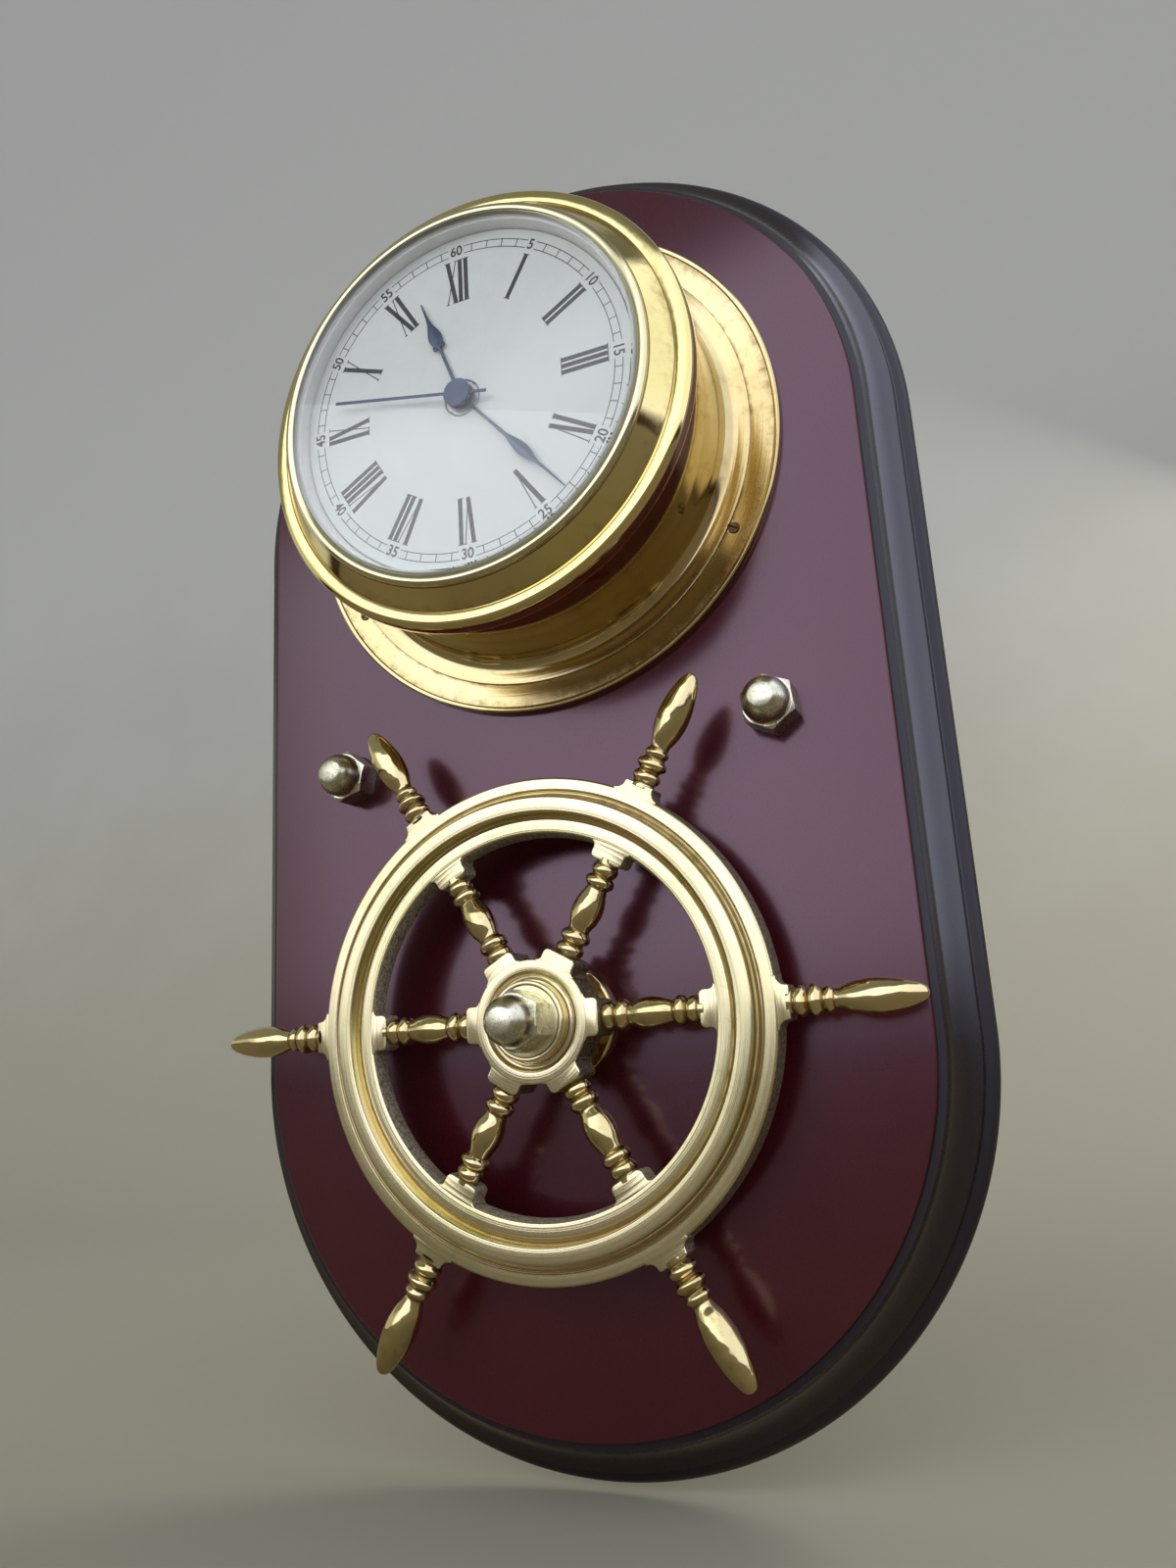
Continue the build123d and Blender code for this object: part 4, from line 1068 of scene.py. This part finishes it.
# ---------------------------------------------------------------- ring nut of the dial

nut_low, nut_high = back("dial_nut"), front("dial_nut")
NUT_BORE, NUT_RADIUS, NOTCH = 4.05, 5.9, 0.6
nut_outline = rounded(
    [(NUT_BORE, nut_low), (NUT_RADIUS, nut_low), (NUT_RADIUS, nut_high, 0.35), (NUT_BORE, nut_high, 0.2)], 3
)
ring_nut = turned("dial_ring_nut", nut_outline, 0, CLOCK_Z, pale_metal, 96)
for quarter in range(4):
    x, z = at_hour(0, NUT_RADIUS, 45 + 90 * quarter)
    cut(ring_nut, plug(x, CLOCK_Z + z, NOTCH, nut_low - 1, nut_high + 1, steps=24))
clean(ring_nut)
dress(ring_nut, "movement_metal", None, "dial_nut")

# ---------------------------------------------------------------- hands

HAND_THICKNESS = 0.35
HOUR_ANGLE, MINUTE_ANGLE = 340.5, 139.8  # clockwise from 12


def hand(name, half_outline, clockwise, height, collar, rings=()):
    """A thin bevelled hand; half_outline gives (half width, distance from the arbor) up to the tip."""
    outline = half_outline + [(-x, y) for x, y in reversed(half_outline[:-1])]
    places = [at_hour(x, y, clockwise) for x, y in outline]
    low = height + 0.01
    high = low + HAND_THICKNESS
    pieces = [plate(name, [(x, CLOCK_Z + z) for x, z in places], low, high, blue, 0.12)]
    boss = rounded([(collar - 1.2, low), (collar, low), (collar, high, 0.12), (collar - 1.2, high)], 2)
    pieces.append(turned("boss", boss, 0, CLOCK_Z, blue, 64))
    for x, y in rings:
        across, along = at_hour(x, y, clockwise)
        ring = rounded([(0.4, low), (0.95, low), *over(low, (0.95, 0.33, 0.1), (0.4, 0.33, 0.1))], 2)
        pieces.append(turned("ring", ring, across, CLOCK_Z + along, blue, 24))
    return united(name, *pieces)


hour_outline = [
    (0.62, 2.6), (0.5, 14.0), (0.45, 21.0),
    *flowing(
        [(0.9, 21.3), (1.9, 22.6), (2.35, 24.6), (2.2, 26.6), (1.5, 28.8), (0.85, 31.0), (0.45, 34.0)], 3
    ),
    (0.22, 39.6), (0.0, 40.0),
]
minute_outline = [
    (0.55, 1.8), (0.48, 16.0), (0.6, 24.0),
    *flowing(
        [(0.65, 25.0), (1.25, 27.6), (1.8, 31.0), (1.9, 33.2), (1.5, 35.8), (0.8, 38.2), (0.5, 40.0)], 3
    ),
    (0.24, 53.1), (0.0, 53.5),
]
spade_rings = [(-1.35, 21.3), (1.35, 21.3)]
hour_hand = hand("hour_spade_hand", hour_outline, HOUR_ANGLE, back("hour_hand"), 4.7, spade_rings)
minute_hand = hand("minute_spade_hand", minute_outline, MINUTE_ANGLE, back("minute_hand"), 3.7)
dress(hour_hand, "hand_blue", "hour", "hour_hand")
dress(minute_hand, "hand_blue", "minute", "minute_hand")

# ---------------------------------------------------------------- camera

# the directions that are right, down and ahead as the camera stands
RIGHT = Vector((0.91635349, 0.3960519, -0.05864444))
DOWN = Vector((-0.1461344, 0.19448999, -0.96995793))
FORWARD = Vector((-0.37274793, 0.8973943, 0.23609839))
CAMERA_PLACE = (0.15405, -0.36158, -0.10448)
lens = bpy.data.cameras.new("main_camera")
lens.sensor_fit = "HORIZONTAL"
lens.sensor_width = 36
lens.lens = 35
lens.clip_start = 0.01
camera = bpy.data.objects.new("main_camera", lens)
bpy.context.scene.collection.objects.link(camera)
view = Matrix((RIGHT, -DOWN, -FORWARD)).transposed()
camera.matrix_world = Matrix.Translation(CAMERA_PLACE) @ view.to_4x4()
bpy.context.scene.camera = camera

# ---------------------------------------------------------------- studio

plaster, g = material("pale_backdrop")
here = g.coordinates()
height = g.split(here)[2]
soft = g.noise(here, 2.2, 4, 0.6)
# painted shade: the backdrop and floor are darker and browner low down
backdrop_painted_shade = g.mix(g.step(height + soft * 0.5, 0.1, 1.3), (0.30, 0.285, 0.215), (0.44, 0.44, 0.40))
# painted shade in reflections: seen in a reflection, the floor near the board is darker and browner
mirrored = g.node("ShaderNodeLightPath", output="Is Glossy Ray")
near_floor = g.step(height, 0.3, -0.1)
backdrop_painted_shade = g.mix(mirrored * near_floor, backdrop_painted_shade, (0.20, 0.165, 0.10))
g.finish(g.surface({"Metallic": 0.0}, Base_Color=backdrop_painted_shade, Roughness=0.85 + g.noise(here, 90) * 0.1))

FLOOR_SIZE, FLOOR_Z, BACKDROP_Y, BACKDROP_HEIGHT, COVE = 8, -0.232, 1.4, 5, 900
bpy.ops.object.select_all(action="DESELECT")
bpy.ops.mesh.primitive_plane_add(size=FLOOR_SIZE, location=(0, BACKDROP_Y - FLOOR_SIZE / 2, FLOOR_Z))
floor = bpy.context.active_object
floor.name = "studio_floor"
pick(floor)
bpy.ops.object.mode_set(mode="EDIT")
edge_select(floor, lambda a, b: min(a.y, b.y) > FLOOR_SIZE / 2 - 0.1)
bpy.ops.mesh.extrude_region_move(TRANSFORM_OT_translate={"value": (0, 0, BACKDROP_HEIGHT)})
bpy.ops.object.mode_set(mode="OBJECT")
settle(floor)
far, low = BACKDROP_Y - 0.01, 0.3
bevel_edges(floor, lambda a, b: min(a.y, b.y) > far and max(abs(a.z), abs(b.z)) < low, COVE, 16)
clean(floor, 60)
floor.data.materials.append(plaster)


def soft_light(name, place, size, watts, colour):
    """A large soft lamp that faces the board's middle and isn't mirrored in the brass."""
    data = bpy.data.lights.new(name, "AREA")
    data.shape = "RECTANGLE"
    data.size, data.size_y = size
    data.energy = watts
    data.color = colour
    lamp = bpy.data.objects.new(name, data)
    bpy.context.scene.collection.objects.link(lamp)
    towards = (-Vector(place)).to_track_quat("-Z", "Y")
    lamp.matrix_world = Matrix.Translation(place) @ towards.to_matrix().to_4x4()
    lamp.visible_glossy = False


soft_light("window", (-1.15, -1.85, 0.95), (1.0, 0.8), 6, (0.97, 0.99, 1.0))
soft_light("rear_window", (0.7, 1.0, 0.9), (0.8, 0.6), 9, (1.0, 0.98, 0.95))

world = bpy.data.worlds.new("studio")
world.use_nodes = True
bpy.context.scene.world = world
sky = Graph(world.node_tree)
direction = sky.node("ShaderNodeTexCoord", output="Generated")
across, _, up = sky.split(direction)
wall = sky.step(across, -0.6, -0.85)  # a duller wall on the left
ground = sky.mix(sky.step(up, -0.25, -0.75), (0.042, 0.023, 0.019), (0.36, 0.30, 0.19))
open_air = sky.mix(sky.step(across, 0.75, -0.25), (1.3, 1.35, 1.6), (2.05, 2.1, 2.3))
open_air = sky.mix(sky.step(across, -0.35, -0.6), open_air, (1.75, 1.78, 1.9))
open_air = sky.mix(wall, open_air, (0.62, 0.62, 0.56))
roof = sky.mix(sky.step(across, -0.6, 0.6), (0.26, 0.265, 0.24), (0.16, 0.165, 0.155))
eaves = up - across * 0.43 - 0.719  # over this slanting line is the roof
glow = sky.mix(sky.step(eaves, -0.03, 0.04), open_air, roof)
glow = sky.mix(sky.step(up, 0.0, 0.07), ground, glow)
seen = sky.node("ShaderNodeLightPath", output="Is Camera Ray")
glow = sky.mix(seen, glow, (0.38, 0.38, 0.35))
background = sky.node("ShaderNodeBackground", values={"Color": glow, "Strength": 1.0})
sky.node("ShaderNodeOutputWorld", values={"Surface": background})
bpy.context.scene.view_settings.view_transform = "Standard"
